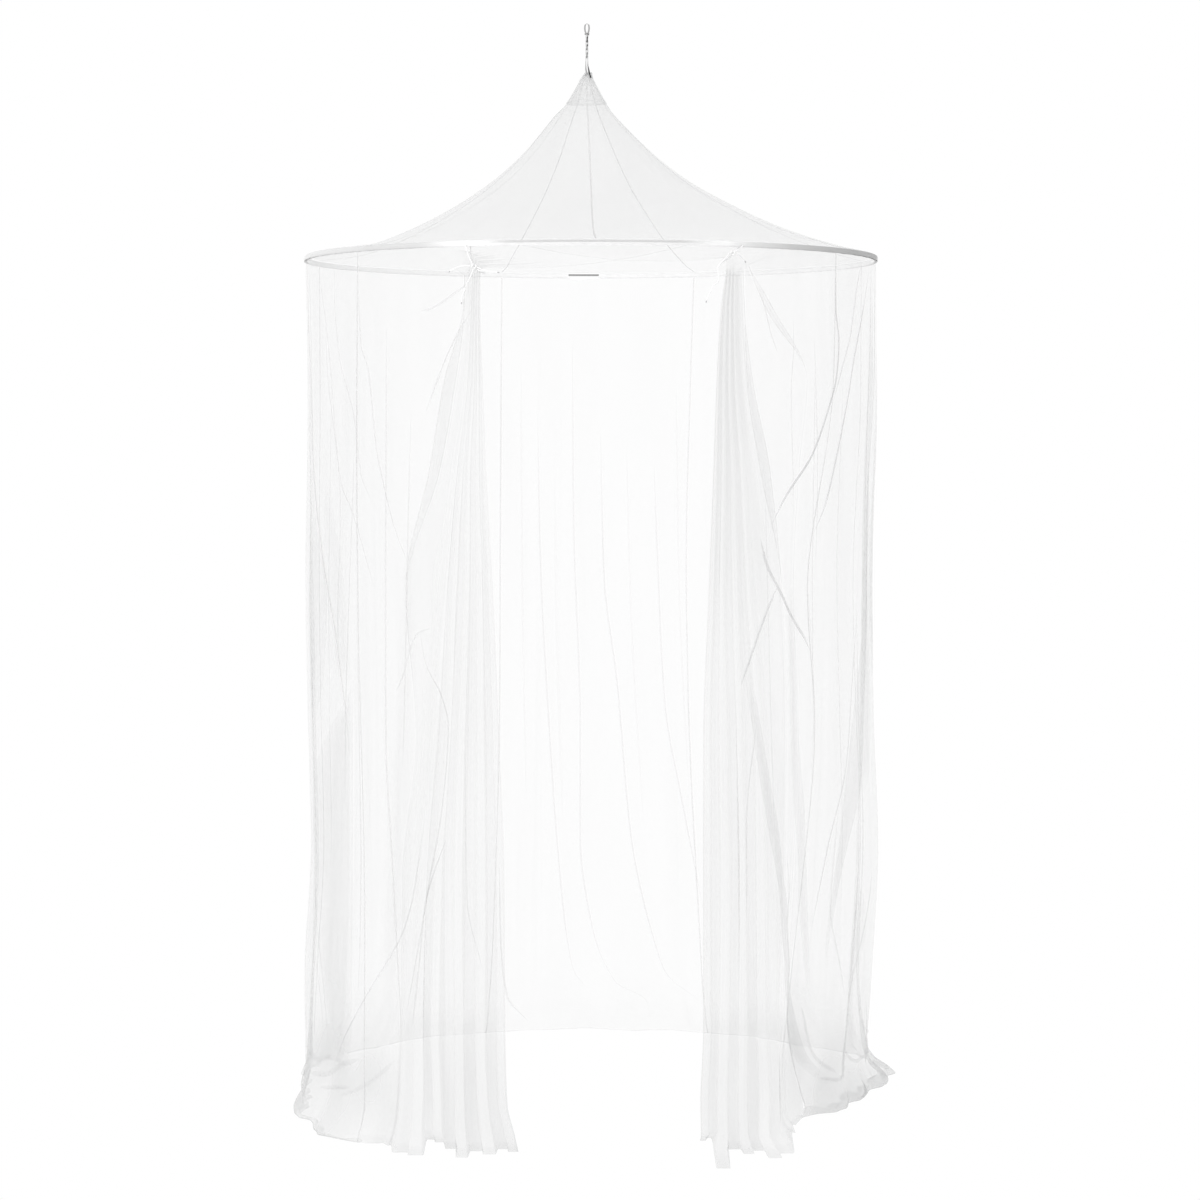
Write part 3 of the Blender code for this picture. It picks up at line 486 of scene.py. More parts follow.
def roof_folds(bearing, down):
    """How far the roof's soft folds carry the net inwards."""
    depth = np.zeros(np.shape(bearing))
    for at_peak, at_hoop, start, end, fold, half in ROOF_FOLDS:
        middle = at_peak + (at_hoop - at_peak) * down
        away = away_from(bearing, middle)
        grown = np.clip((down - start) / 0.15, 0, 1) * np.clip((end - down) / 0.12, 0, 1)
        depth += fold * np.sin(np.pi / 2 * grown) * np.exp(-((away / half) ** 2)) * (0.3 + 0.7 * down)
    return depth


def seam_on_roof(name, down):
    at_peak, at_hoop, _ = SEAMS[name]
    return at_peak + (at_hoop - at_peak) * down


roof_rows = np.concatenate([np.linspace(0.0, 0.9, 64), np.linspace(0.91, 1.0, 12)])
seam_names = list(SEAMS)
for number, from_seam in enumerate(seam_names):
    to_seam = seam_names[(number + 1) % len(seam_names)]
    columns = 64
    share = np.linspace(0.0, 1.0, columns)[None]
    down = np.repeat(roof_rows[:, None], columns, axis=1)
    start = seam_on_roof(from_seam, down)
    end = seam_on_roof(to_seam, down)
    end = np.where(end < start, end + 360.0, end)
    bearing = start + (end - start) * (GORE_EDGE + share * (1.0 - 2 * GORE_EDGE))
    sag = GORE_SAG * np.sin(np.pi * share) * np.sin(np.pi * down)
    spots = roof_spot(bearing, down, sag, roof_folds(bearing, down) * np.sin(np.pi * share) ** 0.5)
    slack = np.clip((down - 0.60) / 0.18, 0.0, 1.0)
    at_back = np.clip(np.sin(np.radians(bearing)), 0.0, 1.0)
    layers = (2.0 + 9.0 * np.exp(-down / 0.11)) * (1.0 - (0.08 + 0.50 * at_back) * slack)
    gore = build(f"roof_net_{number + 1}", [(spots, layers, False)], taut_net)
    wide = 2 * math.pi * HOOP_RADIUS * (end[-1, 0] - start[-1, 0]) / 360.0
    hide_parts(f"roof_gore_{number + 1}")

# Each seam is the two edges of net folded together and stitched flat, so it shows as a thin, closer line.
SEAM_WIDTH = 0.0040
seam_strips = []
for name in seam_names:
    down = roof_rows[:, None] + np.zeros((1, 3))
    middle = roof_spot(seam_on_roof(name, down[:, :1]), down[:, :1], clearance=0.0012)
    side = np.cross(np.gradient(middle[:, 0], axis=0), (0.0, 0.0, 1.0))
    side /= np.linalg.norm(side, axis=1)[:, None]
    across = np.array([-0.5, 0.0, 0.5])[None, :, None] * SEAM_WIDTH
    thick = {"front": 9.0 * down + 3.0, "left": 8.0, "right": 8.0}.get(name, 3.5)
    seam_strips.append((middle + side[:, None] * across, thick, False))
roof_seams = build("roof_seams", seam_strips, folded_net)

# ---- Roof cap -----------------------------------------------------------------------------------------
# A small cone of doubled net over the peak, where the seams meet. Its hem is turned up round the lower edge,
# and is sewn down to the gores there.

CAP_DOWN = 2 / (len(ROOF_LINE) - 1)
cap_rows = np.linspace(0.0, CAP_DOWN, 26)
cap_bearings = np.arange(0.0, 360.0, 3.0)
down = np.repeat(cap_rows[:, None], len(cap_bearings), axis=1)
bearing = np.repeat(cap_bearings[None], len(cap_rows), axis=0)
puckers = 0.0004 * np.sin(np.radians(bearing) * 11 + 3 * np.sin(np.radians(bearing))) * (down / CAP_DOWN)
cap_layers = np.where(down > CAP_DOWN - 0.010, 3.5, 0.9)
cap = build(
    "roof_cap_net",
    [(roof_spot(bearing, down, clearance=0.0019 + puckers), cap_layers, True)],
    taut_net,
)
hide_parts("roof_cap")

# ---- Hoop rod -----------------------------------------------------------------------------------------
# A smooth grey rod bent to a circle. Its ends meet at the back, where the casing leaves a short length bare.
# Only the casing round it holds it.

# a little thinner than the real rod, so that the casing lies clear of it
ROD_RADIUS = 0.00276
ROD_STEPS = 240
ROD_SIDES = 12
# the bearing where the casing begins, at one end of the bare length
OPENING_BEARING = 95.1


def rod_finish():
    stuff, tree, shader = new_material("grey rod")
    spot = tree.nodes.new("ShaderNodeTexCoord")
    noise = tree.nodes.new("ShaderNodeTexNoise")
    noise.inputs["Scale"].default_value = 160.0
    tree.links.new(spot.outputs["Object"], noise.inputs["Vector"])
    tone = spread_over(tree, noise.outputs["Fac"], 0.0, 1.0, 0.27, 0.35)
    colour = tree.nodes.new("ShaderNodeCombineColor")
    for channel in ("Red", "Green", "Blue"):
        tree.links.new(tone, colour.inputs[channel])
    tree.links.new(colour.outputs["Color"], shader.inputs["Base Color"])
    tree.links.new(spread_over(tree, noise.outputs["Fac"], 0.0, 1.0, 0.30, 0.46), shader.inputs["Roughness"])
    return stuff


grey_rod = rod_finish()
turns = np.radians(OPENING_BEARING + np.arange(ROD_STEPS) * (360.0 / ROD_STEPS))
out = np.stack([np.cos(turns), np.sin(turns), 0 * turns], 1)
ring = out * HOOP_RADIUS + (AXIS_X, 0.0, HOOP_HEIGHT - DROP)
angles = np.arange(ROD_SIDES) * math.tau / ROD_SIDES
rod_grid = (
    ring[:, None]
    + out[:, None] * (np.cos(angles) * ROD_RADIUS)[None, :, None]
    + np.array([0, 0, 1.0]) * (np.sin(angles) * ROD_RADIUS)[None, :, None]
)
rod_grid = np.concatenate([rod_grid, rod_grid[:1]])
rod = build("hoop_rod_smooth", [(rod_grid, 1.0, True)], grey_rod)
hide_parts("hoop_rod")

# ---- Hoop casing --------------------------------------------------------------------------------------
# A doubled tape sewn into a channel round the rod. The roof is sewn to its top and the walls to its foot.
# At the back one end of the tape hangs loose beside the bare rod.

# the casing covers all but one of this many parts of the hoop
RING_PARTS = 54
# distance outwards from the rod, and upwards
CASING_SECTION = (
    (-0.0036, -0.009), (-0.0042, -0.002), (-0.0036, 0.0026), (0, 0.0044), (0.0036, 0.0026),
    (0.0042, -0.002), (0.0036, -0.009),
)


def tape(name, dark, light, cover):
    """White tape. It lets less through the more thicknesses of it lie together, and where many lie its colour
    is darkened: painted shade.
    """
    stuff = woven(name, dark, light, 0.75, 0.0011, 0.0002)
    tree = stuff.node_tree
    shader = tree.nodes["Principled BSDF"]
    weave = next(node for node in tree.nodes if node.type == "GROUP")
    cloth = maths(tree, "MULTIPLY", maths(tree, "ADD", weave.outputs["Thread"], 1.0), cover)
    through = maths(tree, "POWER", maths(tree, "SUBTRACT", 1.0, cloth), layers_here(tree))
    tree.links.new(maths(tree, "SUBTRACT", 1.0, through), shader.inputs["Alpha"])
    woven_colour = shader.inputs["Base Color"].links[0].from_socket
    # the colour is darkened where the layers attribute is high: painted shade
    painted_casing_shade = spread_over(tree, layers_here(tree), 3.6, 6.5, 1.0, 0.40)
    tree.links.new(darkened(tree, woven_colour, painted_casing_shade), shader.inputs["Base Color"])
    return stuff


casing_tape = tape("casing tape", 0.86, 0.96, 0.34)
# bearing: thicknesses of cloth in the casing there, which also darken its colour above 3.6: painted shade on
# the front left and, strongest, on the right front away from the lamp
CASING_LAYERS_AND_SHADE = (
    (-30, 6.3), (-12, 6.4), (-2, 3.6), (12, 2.8), (95, 3.4), (150, 3.5), (168, 2.8), (182, 3.2), (192, 4.5),
    (206, 4.9), (216, 5.1), (226, 5.3), (236, 5.2), (246, 3.2), (256, 0.7), (286, 0.8), (299, 4.3),
    (307, 5.2), (318, 5.9), (330, 6.3),
)


def casing_ring():
    section = np.array(CASING_SECTION)
    travel = lengths(section)
    section = smooth(travel, section, np.linspace(0.0, travel[-1], 17))
    steps = 6 * (RING_PARTS - 1)
    bearings = OPENING_BEARING + np.linspace(0.0, 360.0 * (RING_PARTS - 1) / RING_PARTS, steps + 1)
    angle = np.radians(bearings)[:, None]
    pucker = 0.00035 * np.sin(angle * 150 + 2.0 * np.sin(angle * 17)) + 0.0003 * np.sin(angle * 61)
    low = np.clip(-section[None, :, 1] / 0.009, 0, 1)
    radius = HOOP_RADIUS + section[None, :, 0] + pucker * low
    height = HOOP_HEIGHT + section[None, :, 1] + 0.5 * pucker * low - DROP
    return np.stack([AXIS_X + radius * np.cos(angle), radius * np.sin(angle), height], axis=-1)


casing_spots = casing_ring()
given_layers_and_shade = np.array(CASING_LAYERS_AND_SHADE)
round_ring = np.degrees(np.arctan2(casing_spots[:, :, 1], casing_spots[:, :, 0] - AXIS_X))
casing_layers_and_shade = smooth(given_layers_and_shade[:, 0], given_layers_and_shade[:, 1], (round_ring + 30.0) % 360.0 - 30.0)
casing = build("hoop_casing_tape", [(casing_spots, casing_layers_and_shade, False)], casing_tape)
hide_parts("hoop_casing")

FLAP_STEPS = 28
# x from the hoop's axis, drop to its top edge, height of the tape there
LOOSE_END = (
    (-0.0659, 0.0065, 0.002), (-0.05, 0.0066, 0.0055), (-0.036, 0.0066, 0.008), (-0.023, 0.0064, 0.006),
    (-0.011, 0.006, 0.0025),
)
loose = np.array(LOOSE_END)
at = np.linspace(loose[0, 0], loose[-1, 0], FLAP_STEPS)
x, drop, tall = smooth(loose[:, 0], loose, at).T
depth = math.sqrt(HOOP_RADIUS**2 - loose[2, 0] ** 2) - 0.0038
flap_rows = []
for share in np.linspace(0.0, 1.0, 7):
    curl = 0.0016 * share * np.sin(np.linspace(0.2, 6.0, FLAP_STEPS))
    height = HOOP_HEIGHT - drop - tall * share - DROP
    flap_rows.append(np.stack([x + AXIS_X, depth - 0.001 * share + curl * 0.5, height], 1))
flap = build("casing_loose_end", [(np.array(flap_rows), 2.0, False)], casing_tape)
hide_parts("casing_flap")


def stitch_tree():
    """Short stitches laid end to end along a line."""
    tree = bpy.data.node_groups.new("stitch row", "GeometryNodeTree")
    for name, kind, value in (
        ("Line", "NodeSocketGeometry", None),
        ("Spacing", "NodeSocketFloat", 0.004),
        ("Stitch Length", "NodeSocketFloat", 0.0028),
        ("Thread Radius", "NodeSocketFloat", 0.0002),
        ("Thread", "NodeSocketMaterial", None),
    ):
        made = tree.interface.new_socket(name, in_out="INPUT", socket_type=kind)
        if value is not None:
            made.default_value = value
    tree.interface.new_socket("Stitches", in_out="OUTPUT", socket_type="NodeSocketGeometry")
    given = tree.nodes.new("NodeGroupInput")
    result = tree.nodes.new("NodeGroupOutput")
    line = tree.nodes.new("GeometryNodeMeshToCurve")
    spaced = tree.nodes.new("GeometryNodeResampleCurve")
    spaced.mode = "LENGTH"
    stitch = tree.nodes.new("GeometryNodeMeshCylinder")
    stitch.inputs["Vertices"].default_value = 5
    tangent = tree.nodes.new("GeometryNodeInputTangent")
    turned = tree.nodes.new("FunctionNodeAlignEulerToVector")
    turned.axis = "Z"
    placed = tree.nodes.new("GeometryNodeInstanceOnPoints")
    real = tree.nodes.new("GeometryNodeRealizeInstances")
    finish = tree.nodes.new("GeometryNodeSetMaterial")
    for source, target in (
        (given.outputs["Line"], line.inputs["Mesh"]),
        (line.outputs["Curve"], spaced.inputs["Curve"]),
        (given.outputs["Spacing"], spaced.inputs["Length"]),
        (given.outputs["Thread Radius"], stitch.inputs["Radius"]),
        (given.outputs["Stitch Length"], stitch.inputs["Depth"]),
        (tangent.outputs["Tangent"], turned.inputs["Vector"]),
        (spaced.outputs["Curve"], placed.inputs["Points"]),
        (stitch.outputs["Mesh"], placed.inputs["Instance"]),
        (turned.outputs["Rotation"], placed.inputs["Rotation"]),
        (placed.outputs["Instances"], real.inputs["Geometry"]),
        (real.outputs["Geometry"], finish.inputs["Geometry"]),
        (given.outputs["Thread"], finish.inputs["Material"]),
        (finish.outputs["Geometry"], result.inputs["Stitches"]),
    ):
        tree.links.new(source, target)
    return tree


stitch_row = stitch_tree()
sewing_thread = woven("sewing thread", 0.45, 0.66, 0.6, 0.0005, 0.0001)


def stitched(name, routes, spacing=0.004):
    """Stitches along each route, as one plain mesh."""
    mesh = bpy.data.meshes.new(name)
    points, edges = [], []
    for route in routes:
        edges += [(len(points) + spot, len(points) + spot + 1) for spot in range(len(route) - 1)]
        points += np.asarray(route).tolist()
    mesh.from_pydata(points, edges, [])
    line = bpy.data.objects.new(name, mesh)
    bpy.context.scene.collection.objects.link(line)
    rows = line.modifiers.new("Stitches", "NODES")
    rows.node_group = stitch_row
    values = {"Spacing": spacing, "Stitch Length": spacing * 0.7, "Thread": sewing_thread}
    for item in stitch_row.interface.items_tree:
        if item.in_out == "INPUT" and item.name in values:
            rows[item.identifier] = values[item.name]
    bpy.context.view_layer.update()
    graph = bpy.context.evaluated_depsgraph_get()
    done = bpy.data.meshes.new_from_object(line.evaluated_get(graph))
    line.modifiers.clear()
    line.data = done
    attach(line, "root")
    return line


foot = casing_spots[:, -2]
outward = np.stack([foot[:, 0] - AXIS_X, foot[:, 1], 0 * foot[:, 0]], 1) / HOOP_RADIUS
stitched("casing_stitches", [foot + outward * 0.0003, casing_spots[:, 1] - outward * 0.0003])
stitched(
    "roof_seam_stitches",
    [strip[0][4:, 1] + (0.0, 0.0, 0.0004) for strip in seam_strips],
    spacing=0.0045,
)

# ---- Walls --------------------------------------------------------------------------------------------
# Five lengths of net, seamed to each other and to the front panels, gathered a little along the casing and
# hanging to the floor. The hem is turned up narrowly, and lies in small heaps on the floor at both sides.

REACH_HEIGHTS = (WALL_TOP, 1.87, 1.35, 1.0, 0.65, 0.3, 0.045, 0.0)
# bearing: distance from the axis at each of REACH_HEIGHTS
REACH = {
    -47: (0.75, 0.76, 0.765, 0.765, 0.75, 0.72, 0.68, 0.665),
    -35: (0.75, 0.757, 0.765, 0.76, 0.745, 0.725, 0.695, 0.68),
    -20: (0.75, 0.755, 0.755, 0.75, 0.745, 0.728, 0.715, 0.73),
    -8: (0.75, 0.75, 0.73, 0.735, 0.748, 0.732, 0.718, 0.724),
    2: (0.75, 0.747, 0.722, 0.733, 0.749, 0.732, 0.748, 0.79),
    14: (0.75, 0.75, 0.73, 0.74, 0.755, 0.745, 0.78, 0.85),
    45: (0.75, 0.76, 0.765, 0.77, 0.78, 0.795, 0.815, 0.835),
    90: (0.75, 0.76, 0.772, 0.78, 0.79, 0.803, 0.816, 0.823),
    135: (0.75, 0.758, 0.765, 0.77, 0.778, 0.79, 0.81, 0.83),
    165: (0.75, 0.75, 0.755, 0.752, 0.745, 0.765, 0.785, 0.808),
    180: (0.75, 0.745, 0.748, 0.742, 0.734, 0.752, 0.749, 0.755),
    197: (0.75, 0.748, 0.752, 0.75, 0.745, 0.76, 0.772, 0.785),
    212: (0.75, 0.752, 0.758, 0.76, 0.765, 0.785, 0.82, 0.842),
    222: (0.75, 0.754, 0.764, 0.77, 0.78, 0.81, 0.87, 0.915),
    232: (0.75, 0.756, 0.768, 0.775, 0.79, 0.82, 0.87, 0.905),
}
# height over which a fold grows to its full depth
FOLD_GROWTH = 0.6
# main folds: bearing at the hoop, at the floor, height where it starts, depth outwards, half width in degrees
WALL_FOLDS = (
    (337, 331, 1.9, 0.018, 3.2), (347, 340, 1.9, -0.02, 3.2), (357, 352, 2, 0.014, 3.2),
    (6, 7, 1.6, -0.016, 3), (28, 30, 1.6, 0.018, 4), (42, 44, 1.5, -0.018, 4), (55, 57, 1.4, 0.015, 3.6),
    (79, 73, 1.1, 0.014, 3.2), (88, 82, 1.1, -0.016, 3.4), (98, 92, 1.2, 0.016, 3.4),
    (122, 124, 1.5, 0.016, 4), (137, 139, 1.6, -0.018, 4), (152, 154, 1.6, 0.018, 3.6),
    (178, 182, 2, 0.01, 3.4), (188, 193, 1.9, -0.016, 3.4), (198, 206, 1.9, 0.018, 3.4),
    (208, 219, 1.9, -0.014, 3.4),
)
# narrower folds: the same columns, of which the net shows this share of the depth
PLEAT_GROWTH = 0.35
PLEAT_SHARE = 0.16
WALL_PLEATS = (
    (331, 326, 2.15, 0.007, 1.1), (335, 330, 2.15, -0.006, 1), (341.5, 336, 2.1, 0.008, 1.2),
    (350.5, 345, 2.15, 0.007, 1), (354, 349, 2.05, -0.006, 1), (1, 359, 2.15, 0.008, 1.1),
    (10, 9, 2, -0.006, 1.2), (21, 23, 1.9, 0.007, 1.2), (34, 36, 2, 0.006, 1.4), (49, 50, 1.8, -0.006, 1.3),
    (61, 62, 2, 0.005, 1.2), (73, 68, 1.7, 0.005, 1), (84, 78, 1.6, 0.005, 1), (93, 86, 1.6, -0.005, 1),
    (103, 99, 1.8, 0.005, 1), (116, 117, 1.8, -0.006, 1.2), (130, 131, 2, 0.007, 1.3),
    (144, 146, 1.9, -0.006, 1.2), (160, 161, 2, 0.006, 1.2), (171, 173, 2.15, 0.006, 1),
    (175, 178, 2.1, -0.007, 1), (183.5, 187, 2.15, 0.008, 1), (191.5, 197, 2.15, 0.008, 1),
    (195, 201, 2.1, -0.006, 0.9), (202, 211, 2.1, -0.007, 1.1), (213, 222, 2, 0.006, 1.2),
)
# net that rolls under at the foot, by bearing: how far it swells outwards, and how many thicknesses lie there
FOOT_ROLL = (
    (-60, 0.012, 2), (-38, 0.018, 1.4), (-33, 0.024, 2.6), (-26, 0.03, 4.6), (-10, 0.028, 5.6),
    (2, 0.032, 5.4), (14, 0.026, 4.6), (28, 0.01, 2.2), (60, 0.004, 1.5), (120, 0.004, 1.5),
    (165, 0.01, 1.8), (190, 0.014, 2.2), (205, 0.018, 2.6), (225, 0.014, 2.4), (245, 0.01, 2),
)
# soft heaps of net: bearing, height, half width in degrees, half height, further thicknesses
NET_HEAPS = (
    (200, 0.1, 9, 0.1, 2.4), (213, 0.17, 8, 0.08, 4), (226, 0.14, 9, 0.06, 3.6), (220, 0.18, 22, 0.12, 5),
    (241, 0.16, 8, 0.13, 3), (312, 0.16, 9, 0.13, 5.2), (190, 0.2, 6, 0.14, 0.8), (240, 0.06, 9, 0.1, 2.2),
    (206, 0.9, 14, 0.9, 0.35), (325, 0.1, 7, 0.08, 2.6), (336, 0.12, 7, 0.08, 2.6),
    (330, 0.13, 20, 0.14, 4.4), (350, 0.09, 9, 0.08, 3), (6, 0.07, 9, 0.06, 2.4),
    (100, 0.09, 16, 0.06, 0.35), (76, 0.08, 14, 0.05, 0.35), (145, 0.09, 20, 0.06, 0.35),
    (45, 0.08, 16, 0.06, 0.35),
)
ROLL_HEIGHT = 0.075
# how the foot goes inwards along the floor and up again to the hem: share of its swell, and lift
ROLLED_UNDER = ((0.35, 0.002), (0.9, 0.003), (1.3, 0.007), (1.2, 0.014), (0.8, 0.020))
WALL_PANELS = {
    "wall_right": ("front_right", "right"),
    "wall_back_right": ("right", "back_right"),
    "wall_back": ("back_right", "back_left"),
    "wall_back_left": ("back_left", "left"),
    "wall_left": ("left", "front_left"),
}


def seam_on_wall(name, heights):
    _, at_hoop, down = SEAMS[name]
    return smooth([-height for height in SEAM_HEIGHTS], (at_hoop, *down), -np.asarray(heights))


def reach(bearing, height):
    """Distance of the hanging net from the axis. bearing has one row for each height."""
    spots = np.array(sorted(REACH))
    keys = [-value for value in REACH_HEIGHTS]
    radii = smooth(keys, np.array([REACH[spot] for spot in spots]).T, -np.asarray(height))
    radii = np.concatenate([radii, radii[:, :1]], axis=1)
    spots = np.append(spots, spots[0] + 360.0)
    turned = (bearing - spots[0]) % 360.0 + spots[0]
    left = np.clip(np.searchsorted(spots, turned, side="right") - 1, 0, len(spots) - 2)
    share = (turned - spots[left]) / (spots[left + 1] - spots[left])
    eased = share * share * (3 - 2 * share)
    row = np.arange(len(radii))[:, None]
    return radii[row, left] * (1 - eased) + radii[row, left + 1] * eased


def folds(bearing, height):
    """How far the main folds, the narrow ones and the fine slack carry the net outwards."""
    offset = np.zeros(np.shape(bearing))
    tall = np.asarray(height)[:, None]
    for table, growth, share in ((WALL_FOLDS, FOLD_GROWTH, 1.0), (WALL_PLEATS, PLEAT_GROWTH, PLEAT_SHARE)):
        for at_hoop, at_floor, start, depth, half in table:
            middle = at_floor + away_from(at_hoop, at_floor) * tall / WALL_TOP
            away = away_from(bearing, middle)
            grown = np.clip((start - tall) / growth, 0.0, 1.0)
            offset += share * depth * grown * np.exp(-((away / half) ** 2))
    angle = np.radians(bearing)
    slack = np.clip((WALL_TOP - tall) / 1.2, 0.0, 1.0)
    offset += slack * 0.0004 * np.sin(angle * 97 + 2.3 * np.sin(tall * 2.1) + 4 * np.sin(angle * 5))
    low = np.clip(1.0 - tall / 0.32, 0.0, 1.0) ** 2
    for name in ("front_left", "front_right"):
        beside = away_from(bearing, seam_on_wall(name, height)[:, None])
        low = low * (1.0 - np.exp(-((beside / 5.0) ** 2)))
    offset += low * 0.005 * np.sin(angle * 41 + 9 * tall) * np.sin(tall * 38 + 3 * np.sin(angle * 13))
    return offset


def foot_roll(bearing):
    """Swell and thicknesses of the rolled foot, with its lumps."""
    roll = np.array(FOOT_ROLL)
    turned = (bearing - roll[0, 0]) % 360.0 + roll[0, 0]
    bearings = np.append(roll[:, 0], roll[0, 0] + 360.0)
    swell, layers = smooth(bearings, np.vstack([roll, roll[:1]])[:, 1:], turned).T
    angle = np.radians(bearing)
    lumps = 0.75 + 0.22 * np.sin(23 * angle + 1.3) + 0.20 * np.sin(41 * angle + 0.4)
    lumps += 0.14 * np.sin(67 * angle + 2)
    return swell.T * lumps, layers.T


def wall_spots(bearing, heights, lying=0.0):
    """Points of the hanging net, and how far they stand off it."""
    tall = np.asarray(heights)[:, None]
    swell, _ = foot_roll(np.ravel(bearing))
    swell = swell.reshape(np.shape(bearing))
    share = np.clip(1.0 - tall / ROLL_HEIGHT, 0.0, 1.0)
    bulge = swell * np.sin(np.pi * share**1.3) * 0.8
    radius = reach(bearing, heights) + folds(bearing, heights) + bulge + lying
    tall = np.maximum(tall + 0 * bearing, ON_FLOOR)
    angle = np.radians(bearing)
    return np.stack([AXIS_X + radius * np.cos(angle), radius * np.sin(angle), tall - DROP], axis=-1)


def heaped(bearing, heights):
    """Further thicknesses where the net sinks into soft heaps near the floor."""
    tall = np.asarray(heights)[:, None]
    extra = np.zeros(np.shape(bearing))
    for at, height, half, half_height, thick in NET_HEAPS:
        away = away_from(bearing, at)
        drop = (tall - height - 0.02 * np.sin(np.radians(bearing) * 19 + at)) / half_height
        extra += thick * np.exp(-((away / half) ** 2) - np.where(drop > 0, drop**2, 0.3 * drop**2))
    return extra


def streaks(across, heights, seed, each, width, strength):
    """Fine upright lines in the net, where its own creases put the threads closer: extra thicknesses."""
    chance = np.random.default_rng(seed)
    low, high = float(across.min()), float(across.max())
    tall = np.asarray(heights)[:, None]
    extra = np.zeros(across.shape)
    for _ in range(int((high - low) / each)):
        middle = chance.uniform(low, high) + chance.uniform(-1.2, 1.2) * width * (tall - 1.0) * 4
        half = width * chance.uniform(0.4, 1.5)
        top, foot = chance.uniform(1.1, 2.6), chance.uniform(-0.6, 1.0)
        seen = np.clip((top - tall) / 0.5, 0, 1) * np.clip((tall - foot) / 0.4, 0, 1)
        extra += strength * chance.uniform(0.2, 1.0) * seen * np.exp(-(((across - middle) / half) ** 2))
    return extra


ON_FLOOR = 0.0006
wall_heights = np.concatenate([np.linspace(WALL_TOP, 0.12, 180), np.linspace(0.112, 0.0, 17)])
COLUMN_STEP = 0.33


def wall_patch(number, from_seam, to_seam):
    start = seam_on_wall(from_seam, wall_heights)
    end = seam_on_wall(to_seam, wall_heights)
    end = np.where(end < start, end + 360.0, end)
    half_overlap = math.degrees(SEAM_OVERLAP / 2 / HOOP_RADIUS)
    start, end = start - half_overlap, end + half_overlap
    columns = int(round((end - start).mean() / COLUMN_STEP))
    bearing = start[:, None] + (end - start)[:, None] * np.linspace(0.0, 1.0, columns)[None]
    hanging = wall_spots(bearing, wall_heights)
    layers = 1.0 + streaks(bearing, wall_heights, 40 + number, 3.2, 0.30, 0.22)
    layers += heaped(bearing, wall_heights)
    swell, thick = foot_roll(bearing[-1])
    rolled = np.clip(1.0 - wall_heights[:, None] / (ROLL_HEIGHT * 1.3), 0.0, 1.0)
    layers += (thick[None] - 1.0) * np.sin(np.pi / 2 * rolled)
    angle = np.radians(bearing[-1])
    out = np.stack([np.cos(angle), np.sin(angle), 0 * angle], 1)
    rows, thicknesses = [hanging], [layers]
    for inward, lift in ROLLED_UNDER:
        row = hanging[-1] - out * (swell * inward)[:, None]
        row[:, 2] = np.maximum(ON_FLOOR, lift * swell / 0.03) - DROP
        rows.append(row[None])
        thicknesses.append((1.0 + (thick - 1.0) * 0.6)[None])
    layers = np.concatenate(thicknesses)
    layers[-1] += 1.0
    layers[:, 0] = layers[:, -1] = 1.8
    return np.concatenate(rows), layers


wall_patches = {
    name: wall_patch(number, *seams) for number, (name, seams) in enumerate(WALL_PANELS.items())
}

# ---- Front panels -------------------------------------------------------------------------------------
# Two wide lengths of net that overlap at the front. Each is drawn aside, gathered in a tie under the hoop,
# and falls from there in a bundle of pleats. The left one lies outside the right one.

FRONT_ROWS = (2.04, 1.87, 1.65, 1.35, 1.0, 0.65, 0.3, 0.12, 0.045)
GATHER_REACH = (0.754, 0.757, 0.762, 0.768, 0.775, 0.790, 0.815, 0.835, 0.845)
PLEAT_DEPTH = (0.012, 0.013, 0.015, 0.018, 0.022, 0.028, 0.034, 0.036, 0.036)
STRAIGHTENED = (0.0, 0.0, 0.0, 0.0, 0.0, 0.15, 0.4, 0.7, 0.9)
STRAIGHT_FRONT = -0.805
FOLD_LAYER = (0.006, 0.006, 0.006, 0.006, 0.005, 0.0045, 0.004, 0.004, 0.004, 0.004)
RIBBON_STEP = 0.4
SWAG_SHARES = (0.28, 0.56, 0.8)
TURN_SHARE = 0.92
# length of the swag, from the casing to the tie
SWAG_RUN = 0.19
# height: thicknesses of net in the gathered part there
GATHER_LAYERS = (
    (2.2, 0.3), (2.165, 0.35), (2.14, 1.2), (2.12, 3.6), (2.04, 3.7), (1.65, 3.3), (1, 3.1), (0.45, 3.2),
    (0.36, 3.6), (0.285, 5.2), (0.18, 5.9), (0, 5.9),
)

